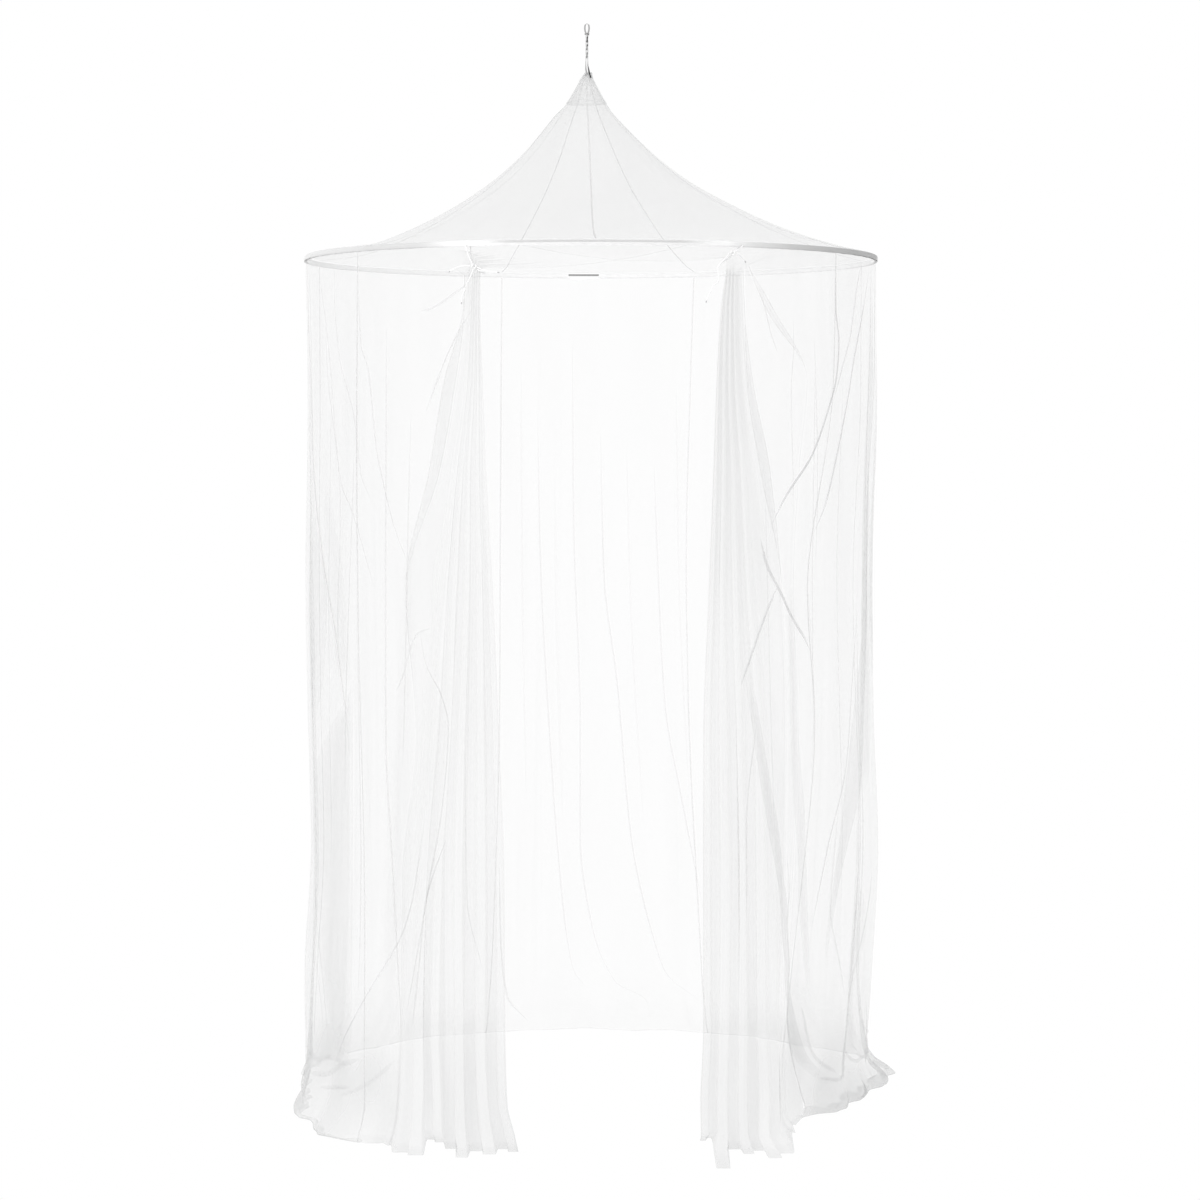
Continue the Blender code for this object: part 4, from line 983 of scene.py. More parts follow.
FRONT_LEFT = {
    "side": -1,
    "seam": "front_left",
    "free_edge_bearing": 288.6,
    "gather_bearing": 241.0,
    "hoop_radius": 0.7537,
    "inset": 0.006,
    "swag_sag": 0.020,
    "tie_height": 2.135,
    "turn_rise": 0.040,
    "turn_lead": 0.010,
    "turn_drop": 0.018,
    "tie_edges": (0.292, 0.265),
    "tie_depth": 0.022,
    "fuller_top": 0.1,
    "outer_edge": (0.294, 0.307, 0.345, 0.378, 0.408, 0.450, 0.455, 0.460, 0.468),
    "free_edge": (0.265, 0.260, 0.250, 0.234, 0.225, 0.214, 0.208, 0.196, 0.180),
    # bearing at the hoop, x at the tie, x at FRONT_ROWS, hem x and y
    "creases": (
        (226.0, 0.503, (0.503, 0.504, 0.504, 0.504, 0.500, 0.490, 0.492, 0.500, 0.512), (0.530, -0.715)),
        (235.0, 0.400, (0.410, 0.430, 0.460, 0.480, 0.472, 0.476, 0.480, 0.486, 0.494), (0.509, -0.712)),
    ),
    # the same, with how wide the fold that lies back over itself is at the tie and at FRONT_ROWS
    "ribbons": (
        (
            238.0,
            0.306,
            (0.310, 0.356, 0.395, 0.456, 0.428, 0.463, 0.467, 0.472, 0.480),
            0.005,
            (0.009, 0.041, 0.041, 0.008, 0.003, 0.003, 0.003, 0.003, 0.003),
            (0.492, -0.735),
        ),
    ),
    # from the outer edge to the free edge: share, depth, hem x from and to, y behind and in front, height
    "pleats": (
        (0.22, 1.0, 0.476, 0.402, -0.815, -0.845, 0.0),
        (0.17, 0.8, 0.396, 0.356, -0.760, -0.790, 0.020),
        (0.20, 1.1, 0.350, 0.294, -0.775, -0.870, 0.0),
        (0.22, 0.9, 0.289, 0.228, -0.800, -0.835, 0.0),
        (0.19, 1.0, 0.223, 0.173, -0.778, -0.808, 0.0),
    ),
}
FRONT_RIGHT = {
    "side": 1,
    "seam": "front_right",
    "free_edge_bearing": 256.7,
    "gather_bearing": 304.0,
    "hoop_radius": 0.7463,
    "inset": 0.018,
    "swag_sag": 0.022,
    "tie_height": 2.160,
    "turn_rise": 0.0180,
    "turn_lead": 0.006,
    "turn_drop": 0.014,
    "tie_edges": (0.358, 0.330),
    "tie_depth": 0.022,
    "fuller_top": 0.85,
    "outer_edge": (0.360, 0.368, 0.394, 0.416, 0.444, 0.460, 0.460, 0.460, 0.462),
    "free_edge": (0.317, 0.307, 0.298, 0.284, 0.268, 0.265, 0.264, 0.264, 0.266),
    "creases": (),
    "ribbons": (
        (
            313.0,
            0.388,
            (0.452, 0.538, 0.517, 0.502, 0.517, 0.503, 0.483, 0.484, 0.487),
            0.005,
            (0.033, 0.003, 0.003, 0.003, 0.003, 0.003, 0.003, 0.003, 0.003),
            (0.513, -0.500),
        ),
        (
            308.0,
            0.374,
            (0.378, 0.398, 0.442, 0.473, 0.485, 0.483, 0.471, 0.471, 0.475),
            0.005,
            (0.006, 0.024, 0.038, 0.003, 0.003, 0.003, 0.003, 0.003, 0.003),
            (0.506, -0.590),
        ),
    ),
    "pleats": (
        (0.28, 1.0, 0.490, 0.430, -0.825, -0.875, 0.0),
        (0.24, 1.1, 0.420, 0.372, -0.795, -0.830, 0.0),
        (0.26, 0.9, 0.364, 0.300, -0.780, -0.985, 0.0),
        (0.22, 1.0, 0.294, 0.266, -0.760, -0.790, 0.024),
    ),
}


def place(x, y, height):
    return np.array((x + AXIS_X, y, height - DROP))


def hung(x, radius, height):
    return place(x, -math.sqrt(radius**2 - x**2), height)


def polar(bearing, radius, height):
    angle = math.radians(bearing)
    return place(radius * math.cos(angle), radius * math.sin(angle), height)


def gathered(side, x, row):
    """The middle of the gathered cloth at one of FRONT_ROWS."""
    spot = hung(side * x, GATHER_REACH[row], FRONT_ROWS[row])
    spot[1] += (STRAIGHT_FRONT - spot[1]) * STRAIGHTENED[row]
    return spot


def fold_shift(start, end, side, across, depth):
    """Along the cloth by across, and back into the net by depth."""
    along = np.array((end[0] - start[0], end[1] - start[1], 0.0))
    along /= np.linalg.norm(along)
    return along * across + np.array((along[1], -along[0], 0.0)) * side * depth


def ribbon_columns(panel):
    """Columns of the flat part. A ribbon is net folded forwards over itself: three thicknesses, six columns."""
    groups = len(panel["creases"]) + len(panel["ribbons"]) + 1
    flat = [0.0] * (len(FRONT_ROWS) + 2)
    columns = []
    for number, (bearing, tie_x, xs, hem) in enumerate(panel["creases"]):
        columns.append((bearing, (number + 1) / groups, (tie_x, *xs), hem, flat, 0.0))
    for number, (bearing, tie_x, xs, tie_width, widths, hem) in enumerate(panel["ribbons"]):
        share = (len(panel["creases"]) + number + 1) / groups
        steps = ((0, -1.0), (1, -1.0), (1, -0.35), (0, 0.35), (0, 1.0), (1, 1.0))
        for order, (inner, layer) in enumerate(steps):
            across = [inner * width for width in (tie_width, *widths, widths[-1])]
            on_hoop = bearing - panel["side"] * RIBBON_STEP * order
            columns.append((on_hoop, share, (tie_x, *xs), hem, across, layer))
    return columns


def flat_part(panel):
    """Lines of points down the panel, from its seam to the last fold before the gather."""
    side = panel["side"]
    under_tie = panel["tie_height"] - panel["turn_drop"]
    heights = [WALL_TOP + (under_tie - WALL_TOP) * share for share in (0.0, *SWAG_SHARES, TURN_SHARE, 1.0)]
    level = len(heights) - 1
    heights = np.array([*heights, *FRONT_ROWS, 0.0])
    half_overlap = math.degrees(SEAM_OVERLAP / 2 / HOOP_RADIUS) * side
    at_seam = seam_on_wall(panel["seam"], heights)[:, None] + half_overlap
    edge = wall_spots(at_seam, heights)[:, 0]
    lines = [list(edge)]
    goals = [hung(side * panel["tie_edges"][0], HOOP_RADIUS, 0.0)]
    goals += [gathered(side, outer, row) for row, outer in enumerate(panel["outer_edge"])]
    goals.append(place(side * panel["pleats"][0][2], panel["pleats"][0][4], 0.0))
    seam_radii = np.hypot(edge[level:, 0] - AXIS_X, edge[level:, 1])
    for bearing, share, xs, hem, across, layer in ribbon_columns(panel):
        low = []
        for row, height in enumerate((under_tie, *FRONT_ROWS)):
            radius = seam_radii[row]
            if row:
                radius += (GATHER_REACH[row - 1] - radius) * share
            shift = fold_shift(edge[level + row], goals[row], side, across[row], layer * FOLD_LAYER[row])
            low.append(hung(side * xs[row], radius, height) + shift)
        shift = fold_shift(edge[-1], goals[-1], side, across[-1], layer * FOLD_LAYER[-1])
        low.append(place(side * hem[0], hem[1], ON_FLOOR) + shift)
        top = polar(bearing, HOOP_RADIUS + (panel["hoop_radius"] - HOOP_RADIUS) * share, WALL_TOP)
        lines.append([top + (low[0] - top) * part for part in (0.0, *SWAG_SHARES, TURN_SHARE)] + low)
    return lines


def gathered_part(panel, chance):
    """Lines of points down the gathered cloth: from the hoop across to the tie, round and down to the hem."""
    side = panel["side"]
    under_tie = panel["tie_height"] - panel["turn_drop"]
    total = sum(pleat[0] for pleat in panel["pleats"])
    passed = 0.0
    lines = []
    for share, depth, hem_from, hem_to, hem_behind, hem_in_front, hem_height in panel["pleats"]:
        middle = (hem_from + hem_to) / 2
        stray = chance.uniform(-0.22, 0.22, len(FRONT_ROWS)) * share / total
        stray = (stray + np.roll(stray, 1)) / 2
        loose = chance.uniform(0.8, 1.2, len(FRONT_ROWS))
        places = (
            (0.06, 0.04, 1, hem_from, hem_behind),
            (0.44, 0.46, 1, middle, hem_behind),
            (0.56, 0.56, -1, middle, hem_in_front),
            (0.94, 0.97, -1, hem_to, hem_in_front),
        )
        for on_hoop, part_of, face, hem_x, hem_y in places:
            at_hoop = (passed + share * on_hoop) / total
            across = (passed + share * part_of) / total
            bearing = panel["gather_bearing"]
            bearing += (panel["free_edge_bearing"] - panel["gather_bearing"]) * at_hoop
            tie_x = panel["tie_edges"][0] + (panel["tie_edges"][1] - panel["tie_edges"][0]) * across
            tie_y = -math.sqrt(HOOP_RADIUS**2 - tie_x**2)
            turn_x = tie_x - panel["turn_lead"] * across
            turn_y = -math.sqrt(HOOP_RADIUS**2 - turn_x**2)
            turn_bearing = math.degrees(math.atan2(turn_y, side * turn_x)) + 360.0
            turn_height = panel["tie_height"] + panel["turn_rise"] * (1 - across)
            shift = face * depth / 2
            line = []
            for part in (0.0, *SWAG_SHARES):
                sweep = 4 * part * (1 - part) * across**2
                radius = panel["hoop_radius"] * (1 - part) + HOOP_RADIUS * part - panel["inset"] * sweep
                height = WALL_TOP + (turn_height - WALL_TOP) * part - panel["swag_sag"] * sweep
                spot = polar(bearing + (turn_bearing - bearing) * part, radius, height)
                spot[1] += shift * panel["tie_depth"] * part**6
                line.append(spot)
            line.append(place(side * turn_x, turn_y + shift * panel["tie_depth"], turn_height))
            line.append(place(side * tie_x, tie_y + shift * panel["tie_depth"], under_tie))
            edges = zip(panel["outer_edge"], panel["free_edge"], PLEAT_DEPTH)
            for row, (outer, free, pleat_depth) in enumerate(edges):
                fade = min(1.0, row / 2) * min(1.0, (len(FRONT_ROWS) - 1 - row) / 2)
                spot = gathered(side, outer + (free - outer) * (across + stray[row] * fade), row)
                spot[1] += shift * pleat_depth * loose[row]
                line.append(spot)
            line.append(place(side * hem_x, hem_y, max(hem_height, ON_FLOOR)))
            lines.append(line)
        passed += share
    return lines


def along_rows(lines, steps):
    """Between each line and the next, the given number of columns, on soft curves."""
    grid = np.array(lines)
    rows = []
    for row in range(grid.shape[1]):
        travel = lengths(grid[:, row]) + np.arange(len(grid)) * 1e-5
        spots = [
            start + (end - start) * np.arange(count) / count
            for start, end, count in zip(travel, travel[1:], steps)
        ]
        rows.append(smooth(travel, grid[:, row], np.concatenate([*spots, [travel[-1]]])))
    return np.array(rows)


def front_panel(panel, seed):
    """The panel's points and thicknesses, and how many of its columns are the flat part."""
    chance = np.random.default_rng(seed)
    flat = flat_part(panel)
    lines = flat + gathered_part(panel, chance)
    steps = []
    for number, (line, after) in enumerate(zip(lines, lines[1:])):
        apart = np.linalg.norm(np.array(line[-5]) - np.array(after[-5]))
        if number >= len(flat):
            steps.append(9 if (number - len(flat)) % 2 == 0 else 11)
        else:
            steps.append(int(np.clip(apart / 0.006, 3, 18)))
    rows = along_rows(lines, steps)
    under_tie = panel["tie_height"] - panel["turn_drop"]
    keys = [0.0, 0.05, 0.10, 0.14, 0.165, SWAG_RUN]
    keys += [keys[-1] + under_tie - height for height in (*FRONT_ROWS, 0.0)]
    at = np.concatenate([np.linspace(0.0, SWAG_RUN, 38), np.linspace(0.20, keys[-1], 190)])
    spots = smooth(keys, rows, at)
    columns = np.arange(spots.shape[1])[None].astype(float)
    in_swag = WALL_TOP - (WALL_TOP - under_tie) * at / SWAG_RUN
    heights = np.where(at < SWAG_RUN, in_swag, under_tie - (at - SWAG_RUN))
    down = at[:, None]
    slack = np.clip((down - 0.16) / 0.12, 0, 1)
    drift = 2.2 * np.sin(down * 1.7 + columns * 0.02) + 1.1 * np.sin(down * 4.1 + columns * 0.05)
    ripple = np.sin(columns * 0.62 + drift) + 0.6 * np.sin(columns * 1.13 - 1.4 * drift)
    spots[:, :, 1] += slack * 0.0004 * ripple
    flat_columns = sum(steps[: len(flat)])
    gather = np.array(GATHER_LAYERS)
    thick = smooth(-gather[:, 0], gather[:, 1], -heights)[:, None]
    thick *= 1.0 + panel["fuller_top"] * np.clip((heights[:, None] - 1.2) / 0.75, 0.0, 1.0)
    share = np.clip((columns - flat_columns + 14) / 14, 0, 1)
    layers = 1.0 + (thick - 1.0) * share
    across = columns + 0 * down
    layers += share * streaks(across, heights, seed + 1, 3.4, 1.5, 0.45) * np.minimum(thick / 3, 1.3)
    layers += (1 - share) * streaks(across, heights, seed + 2, 8.0, 1.0, 0.3)
    bearing = np.degrees(np.arctan2(spots[:, :, 1], spots[:, :, 0] - AXIS_X))
    layers += (1 - share) * heaped(bearing, heights)
    layers[:, -2:] += 2.2
    layers[-2:] += 1.6
    layers[:, :1] = 1.8
    return spots, layers, flat_columns


left_spots, left_layers, left_flat = front_panel(FRONT_LEFT, 7)
right_spots, right_layers, right_flat = front_panel(FRONT_RIGHT, 11)

# ---- Folds laid in the hung net -----------------------------------------------------------------------
# The net has been packed, so narrow folds and sharp creases stay in it after it is hung. Where a fold lies
# back over itself there are three thicknesses. A crease is a fold of a few millimetres.

# bearings are turned into distances along the net at this radius
NET_RADIUS = 0.76
NEIGHBOURS = 8


def net_surface():
    """The hanging net as points on a cylinder of bearing and height, each with its distance from the axis."""
    grids = [spots[: -len(ROLLED_UNDER)] for spots, _ in wall_patches.values()]
    grids += [left_spots[:, : left_flat + 1], right_spots[:, : right_flat + 1]]
    points = np.concatenate([grid[::2].reshape(-1, 3) for grid in grids])
    x, y, height = points[:, 0] - AXIS_X, points[:, 1], points[:, 2] + DROP
    radius = np.hypot(x, y)
    tree = KDTree(len(points))
    for number in range(len(points)):
        scale = NET_RADIUS / radius[number]
        tree.insert((x[number] * scale, y[number] * scale, height[number]), number)
    tree.balance()
    return tree, radius


surface_tree, surface_radius = net_surface()


def on_net(bearing, height, off=0.0022):
    """The distance from the axis at which a fold lies just outside the net."""
    angle = math.radians(bearing)
    spot = (NET_RADIUS * math.cos(angle), NET_RADIUS * math.sin(angle), height)
    near = surface_tree.find_n(spot, NEIGHBOURS)
    weights = [1.0 / (gap + 0.002) for _, _, gap in near]
    total = sum(surface_radius[number] * share for (_, number, _), share in zip(near, weights))
    return total / sum(weights) + off


def soften(values, reach_of=4):
    """The running mean of the values, with that many neighbours on each side."""
    count = 2 * reach_of + 1
    return np.convolve(np.pad(values, reach_of, mode="edge"), np.ones(count) / count, mode="valid")


def fold_band(layers, crisp, *rows):
    """A fold lying flat, pressed from soft, 0, to crisp, 1. Each row is height, bearing from and bearing to."""
    rows = np.reshape(rows, (-1, 3))
    heights = np.linspace(rows[0, 0], rows[-1, 0], max(10, int((rows[0, 0] - rows[-1, 0]) / 0.010)))
    start, end = smooth(-rows[:, 0], rows[:, 1:], -heights).T
    edge = np.array([0.0, 0.09, 0.22, 0.36]) * (1 - crisp) + np.array([0.0, 0.04, 0.10, 0.3]) * crisp
    shares = np.concatenate([edge, [0.5], 1.0 - edge[::-1]])
    bearing = start[:, None] + (end - start)[:, None] * shares[None]
    radius = np.array([[on_net(b, h) for b in row] for row, h in zip(bearing, heights)])
    radius = np.apply_along_axis(soften, 0, radius)
    angle = np.radians(bearing)
    height = heights[:, None] + 0 * bearing
    spots = np.stack([AXIS_X + radius * np.cos(angle), radius * np.sin(angle), height - DROP], axis=-1)
    count = len(heights)
    to_end = np.minimum(np.arange(count), np.arange(count)[::-1])
    taper = np.minimum(1.0, (to_end + 0.5) / (0.12 * count))
    soft_side, crisp_side = np.array([0.0, 0.13, 0.45, 0.82, 1.0]), np.array([1.6, 1.5, 1.0, 1.0, 1.0])
    side = soft_side * (1 - crisp) + crisp_side * crisp
    thick = layers * np.concatenate([side, side[-2::-1]])[None] * taper[:, None]
    return spots, thick, False


def crease(width, layers, *points):
    """A narrow raised fold through points of bearing and height, tapering at both ends."""
    points = np.reshape(points, (-1, 2))
    flat = np.stack([np.radians(points[:, 0]) * NET_RADIUS, points[:, 1]], 1)
    travel = lengths(flat)
    at = np.linspace(0.0, travel[-1], max(10, int(travel[-1] / 0.008)))
    route = smooth(travel, flat, at)
    way = np.gradient(route, axis=0)
    way /= np.linalg.norm(way, axis=1)[:, None]
    side = np.stack([way[:, 1], -way[:, 0]], 1)
    count = len(at)
    to_end = np.minimum(np.arange(count), np.arange(count)[::-1])
    taper = np.minimum(1.0, to_end / (0.18 * count))
    half = width / 2 * np.sin(np.pi / 2 * taper) + 0.0003
    radius = soften(np.array([on_net(math.degrees(a / NET_RADIUS), h) for a, h in route]))
    columns = []
    for share in (-1.0, -0.4, 0.4, 1.0):
        spot = route + side * (share * half)[:, None]
        spread = radius + 0.35 * half * (1 - share**2)
        angle = spot[:, 0] / NET_RADIUS
        height = np.maximum(spot[:, 1], ON_FLOOR) - DROP
        columns.append(np.stack([AXIS_X + spread * np.cos(angle), spread * np.sin(angle), height], 1))
    thick = layers * (0.35 + 0.65 * taper)[:, None] * np.array([0.6, 1.0, 1.0, 0.6])[None]
    return np.stack(columns, axis=1), thick, False


# further thicknesses, how crisp the fold is, then height, bearing from and bearing to of each row
BANDS = {
    "left": (
        (2.8, 0.12, 1.1, 217.5, 219.3, 0.98, 208.5, 219.4, 0.85, 203, 219.6, 0.68, 202.5, 220,
         0.43, 206.5, 221.5, 0.25, 213.5, 223.5, 0.14, 219.5, 224.5),
        (1.8, 0.35, 1.93, 193.5, 196, 1.75, 194, 198.5, 1.5, 195.5, 203, 1.34, 195.5, 208,
         1.15, 196.5, 207, 0.98, 200, 203.5),
        (1.4, 0.15, 1.6, 206, 208.5, 1.3, 206.5, 216, 1.12, 209.5, 219),
    ),
    "right": (
        (2.4, 0.5, 2.1, 342.8, 345.2, 1.82, 339, 345.3, 1.61, 335, 343.7, 1.41, 333.3, 342,
         1.25, 333, 341.5, 1.04, 330.6, 338.5, 0.84, 328.2, 333.6, 0.7, 326.8, 330, 0.53, 324.6, 326.4,
         0.4, 323.2, 324.6),
        (2.4, 0.1, 0.7, 333, 335, 0.47, 335.2, 346.5, 0.26, 338, 342.6, 0.13, 341, 346),
        (1.4, 0.15, 1.6, 345, 349, 1.3, 342.5, 352, 1, 341, 351, 0.8, 341.5, 346),
        (1.6, 0.4, 1.36, 309.3, 310.8, 1.03, 309.6, 311.8, 0.64, 312.8, 316, 0.43, 316.5, 318.2,
         0.32, 318.6, 319.6),
        (3.4, 0.4, 1.15, 299.5, 301, 0.98, 301.5, 303.6, 0.7, 304.4, 307, 0.44, 308, 311, 0.19, 315, 319,
         0.08, 326, 329),
        (1.8, 0.25, 2.16, 352, 356, 1.8, 351, 357, 1.4, 352, 358, 1.1, 353, 357),
    ),
    "back": (
        (0.6, 0.1, 1.5, 131, 133, 1, 130, 137, 0.5, 131, 140, 0.15, 133, 141),
        (0.6, 0.1, 1.4, 41, 43, 0.9, 38, 45, 0.4, 38, 47, 0.12, 40, 48),
    ),
}
# width, further thicknesses, then bearing and height of each point
CREASES = {
    "left": (
        (0.006, 8, 193, 2.16, 194.1, 1.99, 197, 1.84, 200.2, 1.68, 205.2, 1.45, 210.1, 1.26, 213.3, 1.09,
         217.8, 0.93),
        (0.004, 4, 201.5, 2.17, 203.6, 2.13, 209.1, 1.91, 211.7, 1.69, 213.4, 1.62, 218.6, 1.54,
         225.3, 1.36),
        (0.004, 3, 211, 2.16, 211.2, 2.07, 212.9, 1.94, 218.7, 1.78, 221.4, 1.63, 224.4, 1.57),
        (0.004, 5, 219.6, 2.16, 220.8, 1.96, 222.9, 1.9, 225.7, 1.7, 228.2, 1.6, 230.1, 1.53,
         234.7, 1.41),
        (0.004, 4.5, 219.4, 2.16, 219.6, 1.8, 220.6, 1.32, 222, 0.9, 224.3, 0.33),
        (0.005, 5, 228.2, 2, 229.2, 0.99, 232.3, 0.59, 234.8, 0.35, 236, 0.22),
        (0.005, 3, 206.5, 2.05, 207.8, 1.89, 213.1, 1.56, 211.3, 1.3, 212, 1.1),
        (0.005, 3.5, 247.5, 2.105, 243.5, 2.07, 239, 2.04, 236.5, 2.035),
        (0.004, 3.5, 248, 2.04, 244, 1.96, 240.5, 1.86, 238.3, 1.79),
        (0.003, 2.4, 246, 2, 242, 1.91, 239, 1.82),
        (0.005, 3, 239.5, 1.26, 236.9, 1.25, 233, 1.13, 231.5, 1.1),
        (0.004, 4, 236.9, 1.25, 238.3, 1.17, 241.5, 1.1, 243.2, 1.02, 242.5, 0.83, 240.2, 0.61,
         237.5, 0.32),
        (0.004, 4, 243.8, 0.76, 239.8, 0.57, 239, 0.28),
        (0.004, 3.5, 238.8, 0.78, 236.8, 0.58, 226.5, 0.34, 216.5, 0.14),
        (0.004, 3, 190, 1.3, 196, 0.9, 204, 0.5, 212, 0.2),
        (0.004, 3, 200, 0.9, 206, 0.5, 214, 0.18),
        (0.014, 1.8, 205.5, 0.17, 210, 0.15, 215, 0.165, 221, 0.17),
        (0.014, 1.8, 208, 0.11, 214, 0.12, 220, 0.155, 227, 0.19),
        (0.01, 2, 213, 0.085, 219, 0.1, 226, 0.12),
        (0.012, 1.4, 200, 0.13, 204, 0.17, 208, 0.25),
        (0.01, 1.6, 223, 0.09, 229, 0.13, 235, 0.2),
        (0.003, 3, 195.5, 2.16, 196.5, 1.95, 199, 1.72),
    ),
    "right": (
        (0.006, 11, 324.8, 2.18, 324.4, 2.05, 325.3, 1.97, 324.3, 1.88, 321.4, 1.8, 315.6, 1.68,
         308.6, 1.575, 305.3, 1.51),
        (0.005, 6, 337, 2.17, 335.3, 2.15, 331.9, 2.05, 329.9, 1.98, 326.4, 1.9, 323.5, 1.83),
        (0.006, 9, 341, 2.15, 338.9, 2.1, 335.5, 2.02, 331, 1.91, 329, 1.84, 323.6, 1.67, 319.9, 1.56,
         316.4, 1.49),
        (0.005, 6, 343.5, 2.17, 341, 1.95, 338.5, 1.75, 336, 1.6, 334, 1.45),
        (0.005, 6, 348, 2.17, 346.5, 1.85, 344.5, 1.6, 341.5, 1.4, 340, 1.2),
        (0.007, 9, 303.2, 1.48, 304.5, 1.42, 306.9, 1.36, 310.5, 1.28, 313.6, 1.23, 315.2, 1.2),
        (0.005, 8, 306.9, 1.36, 303.9, 1.28, 300.6, 1.18, 298.7, 1.12),
        (0.005, 6, 331.5, 1.3, 330, 1.11, 328.6, 0.91, 322.4, 0.68, 318.5, 0.5),
        (0.009, 2, 326, 0.79, 324.8, 0.55, 328.8, 0.39, 330.8, 0.3),
        (0.008, 2.2, 334, 0.76, 335, 0.45, 337, 0.28),
        (0.008, 2.2, 349, 0.6, 344, 0.4, 339, 0.22),
        (0.003, 3, 317, 1.98, 317.5, 1.6, 316.9, 1.42),
        (0.003, 2.5, 314.6, 1.36, 316.6, 1.05, 316, 0.9),
        (0.003, 2.2, 311.5, 2.02, 311, 1.75, 310.8, 1.52),
        (0.004, 3, 303, 2.09, 305.5, 1.99, 307.5, 1.935),
        (0.004, 3.5, 302, 1.02, 299, 0.78, 298, 0.55),
        (0.004, 3.5, 308.5, 0.7, 310.5, 0.4, 309, 0.1),
        (0.01, 3, 317, 0.3, 322, 0.17, 331, 0.1),
        (0.01, 3, 325, 0.1, 332, 0.085, 341, 0.1),
        (0.01, 2.6, 338, 0.15, 346, 0.1, 354, 0.11),
        (0.01, 3, 350, 0.16, 357, 0.1, 364, 0.085),
        (0.009, 2, 344, 0.26, 348, 0.19, 356, 0.15),
    ),
    "back": (
        (0.004, 2.6, 101.8, 1.8, 101, 1.36, 98.9, 0.86, 96.7, 0.47, 93.9, 0.18, 91, 0.12),
        (0.004, 2.2, 94.2, 2, 93.9, 1.5, 92.4, 0.86, 92.4, 0.57, 90.2, 0.32, 85.2, 0.146, 78.7, 0.09,
         78, 0.04),
        (0.004, 2.8, 88.1, 1.75, 87.4, 1.34, 84.5, 1.01, 81.6, 0.57, 76.5, 0.24, 74.4, 0.165,
         67.5, 0.098),
        (0.004, 2.4, 76.5, 1.66, 75.7, 1.36, 74.3, 0.96, 70.5, 0.67, 66, 0.36),
        (0.005, 3.4, 109.8, 0.5, 109.3, 0.28, 107.7, 0.107, 103.3, 0.03),
        (0.006, 0.9, 105.5, 1.95, 105, 1.3, 104, 0.7),
        (0.008, 0.6, 98, 1.6, 97.5, 1.2, 96, 0.6),
        (0.006, 0.8, 82.5, 1.7, 81.5, 1.2, 79, 0.6),
        (0.006, 0.8, 71.5, 1.9, 71, 1.3, 69, 0.7),
        (0.005, 2.4, 35, 1.96, 35.5, 1.6, 36.1, 0.95),
        (0.004, 2.4, 24, 1.9, 25, 1.4, 26, 0.9, 27, 0.4),
        (0.005, 2, 50, 1.6, 49, 1.1, 48, 0.6),
        (0.004, 2.4, 118, 0.9, 117, 0.4, 113, 0.18),
        (0.005, 2.2, 132, 1.8, 133, 1.3, 134, 0.8),
        (0.005, 2.2, 150, 1.7, 151, 1.2, 152, 0.7),
        (0.004, 2.2, 160, 1.9, 161, 1.2, 162, 0.5),
    ),
}
for name in BANDS:
    patches = [fold_band(*band) for band in BANDS[name]] + [crease(*one) for one in CREASES[name]]
    build(f"{name}_laid_folds", patches, folded_net)

# The walls are made here, with the folds that lie in them. A wall's flat width is its waved length across
# one of its rows, with what the small gathers take up.
WAIST_ROW = 60
GATHER_ALLOWANCE = 1.04
for name, (spots, layers) in wall_patches.items():
    wall = build(f"{name}_net", [(spots, layers, False)], fine_net)
    wide = float(lengths(spots[WAIST_ROW])[-1]) * GATHER_ALLOWANCE
    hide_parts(name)

for name, spots, layers, wide in (
    ("front_left", left_spots, left_layers, 0.79),
    ("front_right", right_spots, right_layers, 0.70),
):
    panel = build(f"{name}_net", [(spots, layers, False)], fine_net)
    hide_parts(name)

# Each wall seam is stitched flat like the roof's, from the casing to the hem, but only its flat strip is drawn,
# not its stitches.
wall_strips = []
for name in seam_names:
    if not SEAMS[name][2]:
        continue
    bearing = seam_on_wall(name, wall_heights)[:, None]
    half = SEAM_WIDTH / 2 / HOOP_RADIUS
    spread = np.degrees(np.array([-half, 0.0, half]))[None]
    thick = 2.4 + 0.3 * heaped(bearing + spread, wall_heights)
    wall_strips.append((wall_spots(bearing + spread, wall_heights, lying=0.0010), thick, False))
build("wall_seams", wall_strips, folded_net)

# ---- Ties ---------------------------------------------------------------------------------------------
# Two lengths of thin twisted string. Each starts at the casing, goes round the gathered net, and is knotted
# in front of it. The ends hang free.

END_DIAMETER = 0.0030
TIE_DIAMETER = 0.0034
STRING_SIDES = 12
STRAND_LAY = 0.014
ROUTE_STEP = 0.0012
# the last rows of a string, where its end is melted shut
SEALED_ROWS = 6
# x from the hoop's axis, distance from the axis, height
TIE_SLINGS = {
    "tie_left": (
        (-0.302, 0.7557, 2.193), (-0.299, 0.76, 2.182), (-0.295, 0.765, 2.168), (-0.288, 0.768, 2.152),
        (-0.2805, 0.7683, 2.138), (-0.269, 0.769, 2.129), (-0.259, 0.767, 2.1255), (-0.2552, 0.76, 2.124),
        (-0.255, 0.745, 2.124), (-0.26, 0.735, 2.1255), (-0.272, 0.73, 2.131), (-0.283, 0.729, 2.144),
        (-0.288, 0.73, 2.16), (-0.29, 0.736, 2.178), (-0.29, 0.7424, 2.193),
    ),
    "tie_right": (
        (0.3725, 0.7557, 2.193), (0.364, 0.76, 2.185), (0.354, 0.766, 2.178), (0.345, 0.7683, 2.1725),
        (0.335, 0.7695, 2.1625), (0.325, 0.768, 2.156), (0.3215, 0.761, 2.152), (0.3215, 0.745, 2.151),
        (0.325, 0.735, 2.1545), (0.336, 0.729, 2.162), (0.347, 0.728, 2.172), (0.354, 0.73, 2.179),
        (0.36, 0.736, 2.186), (0.364, 0.742, 2.1935),
    ),
}
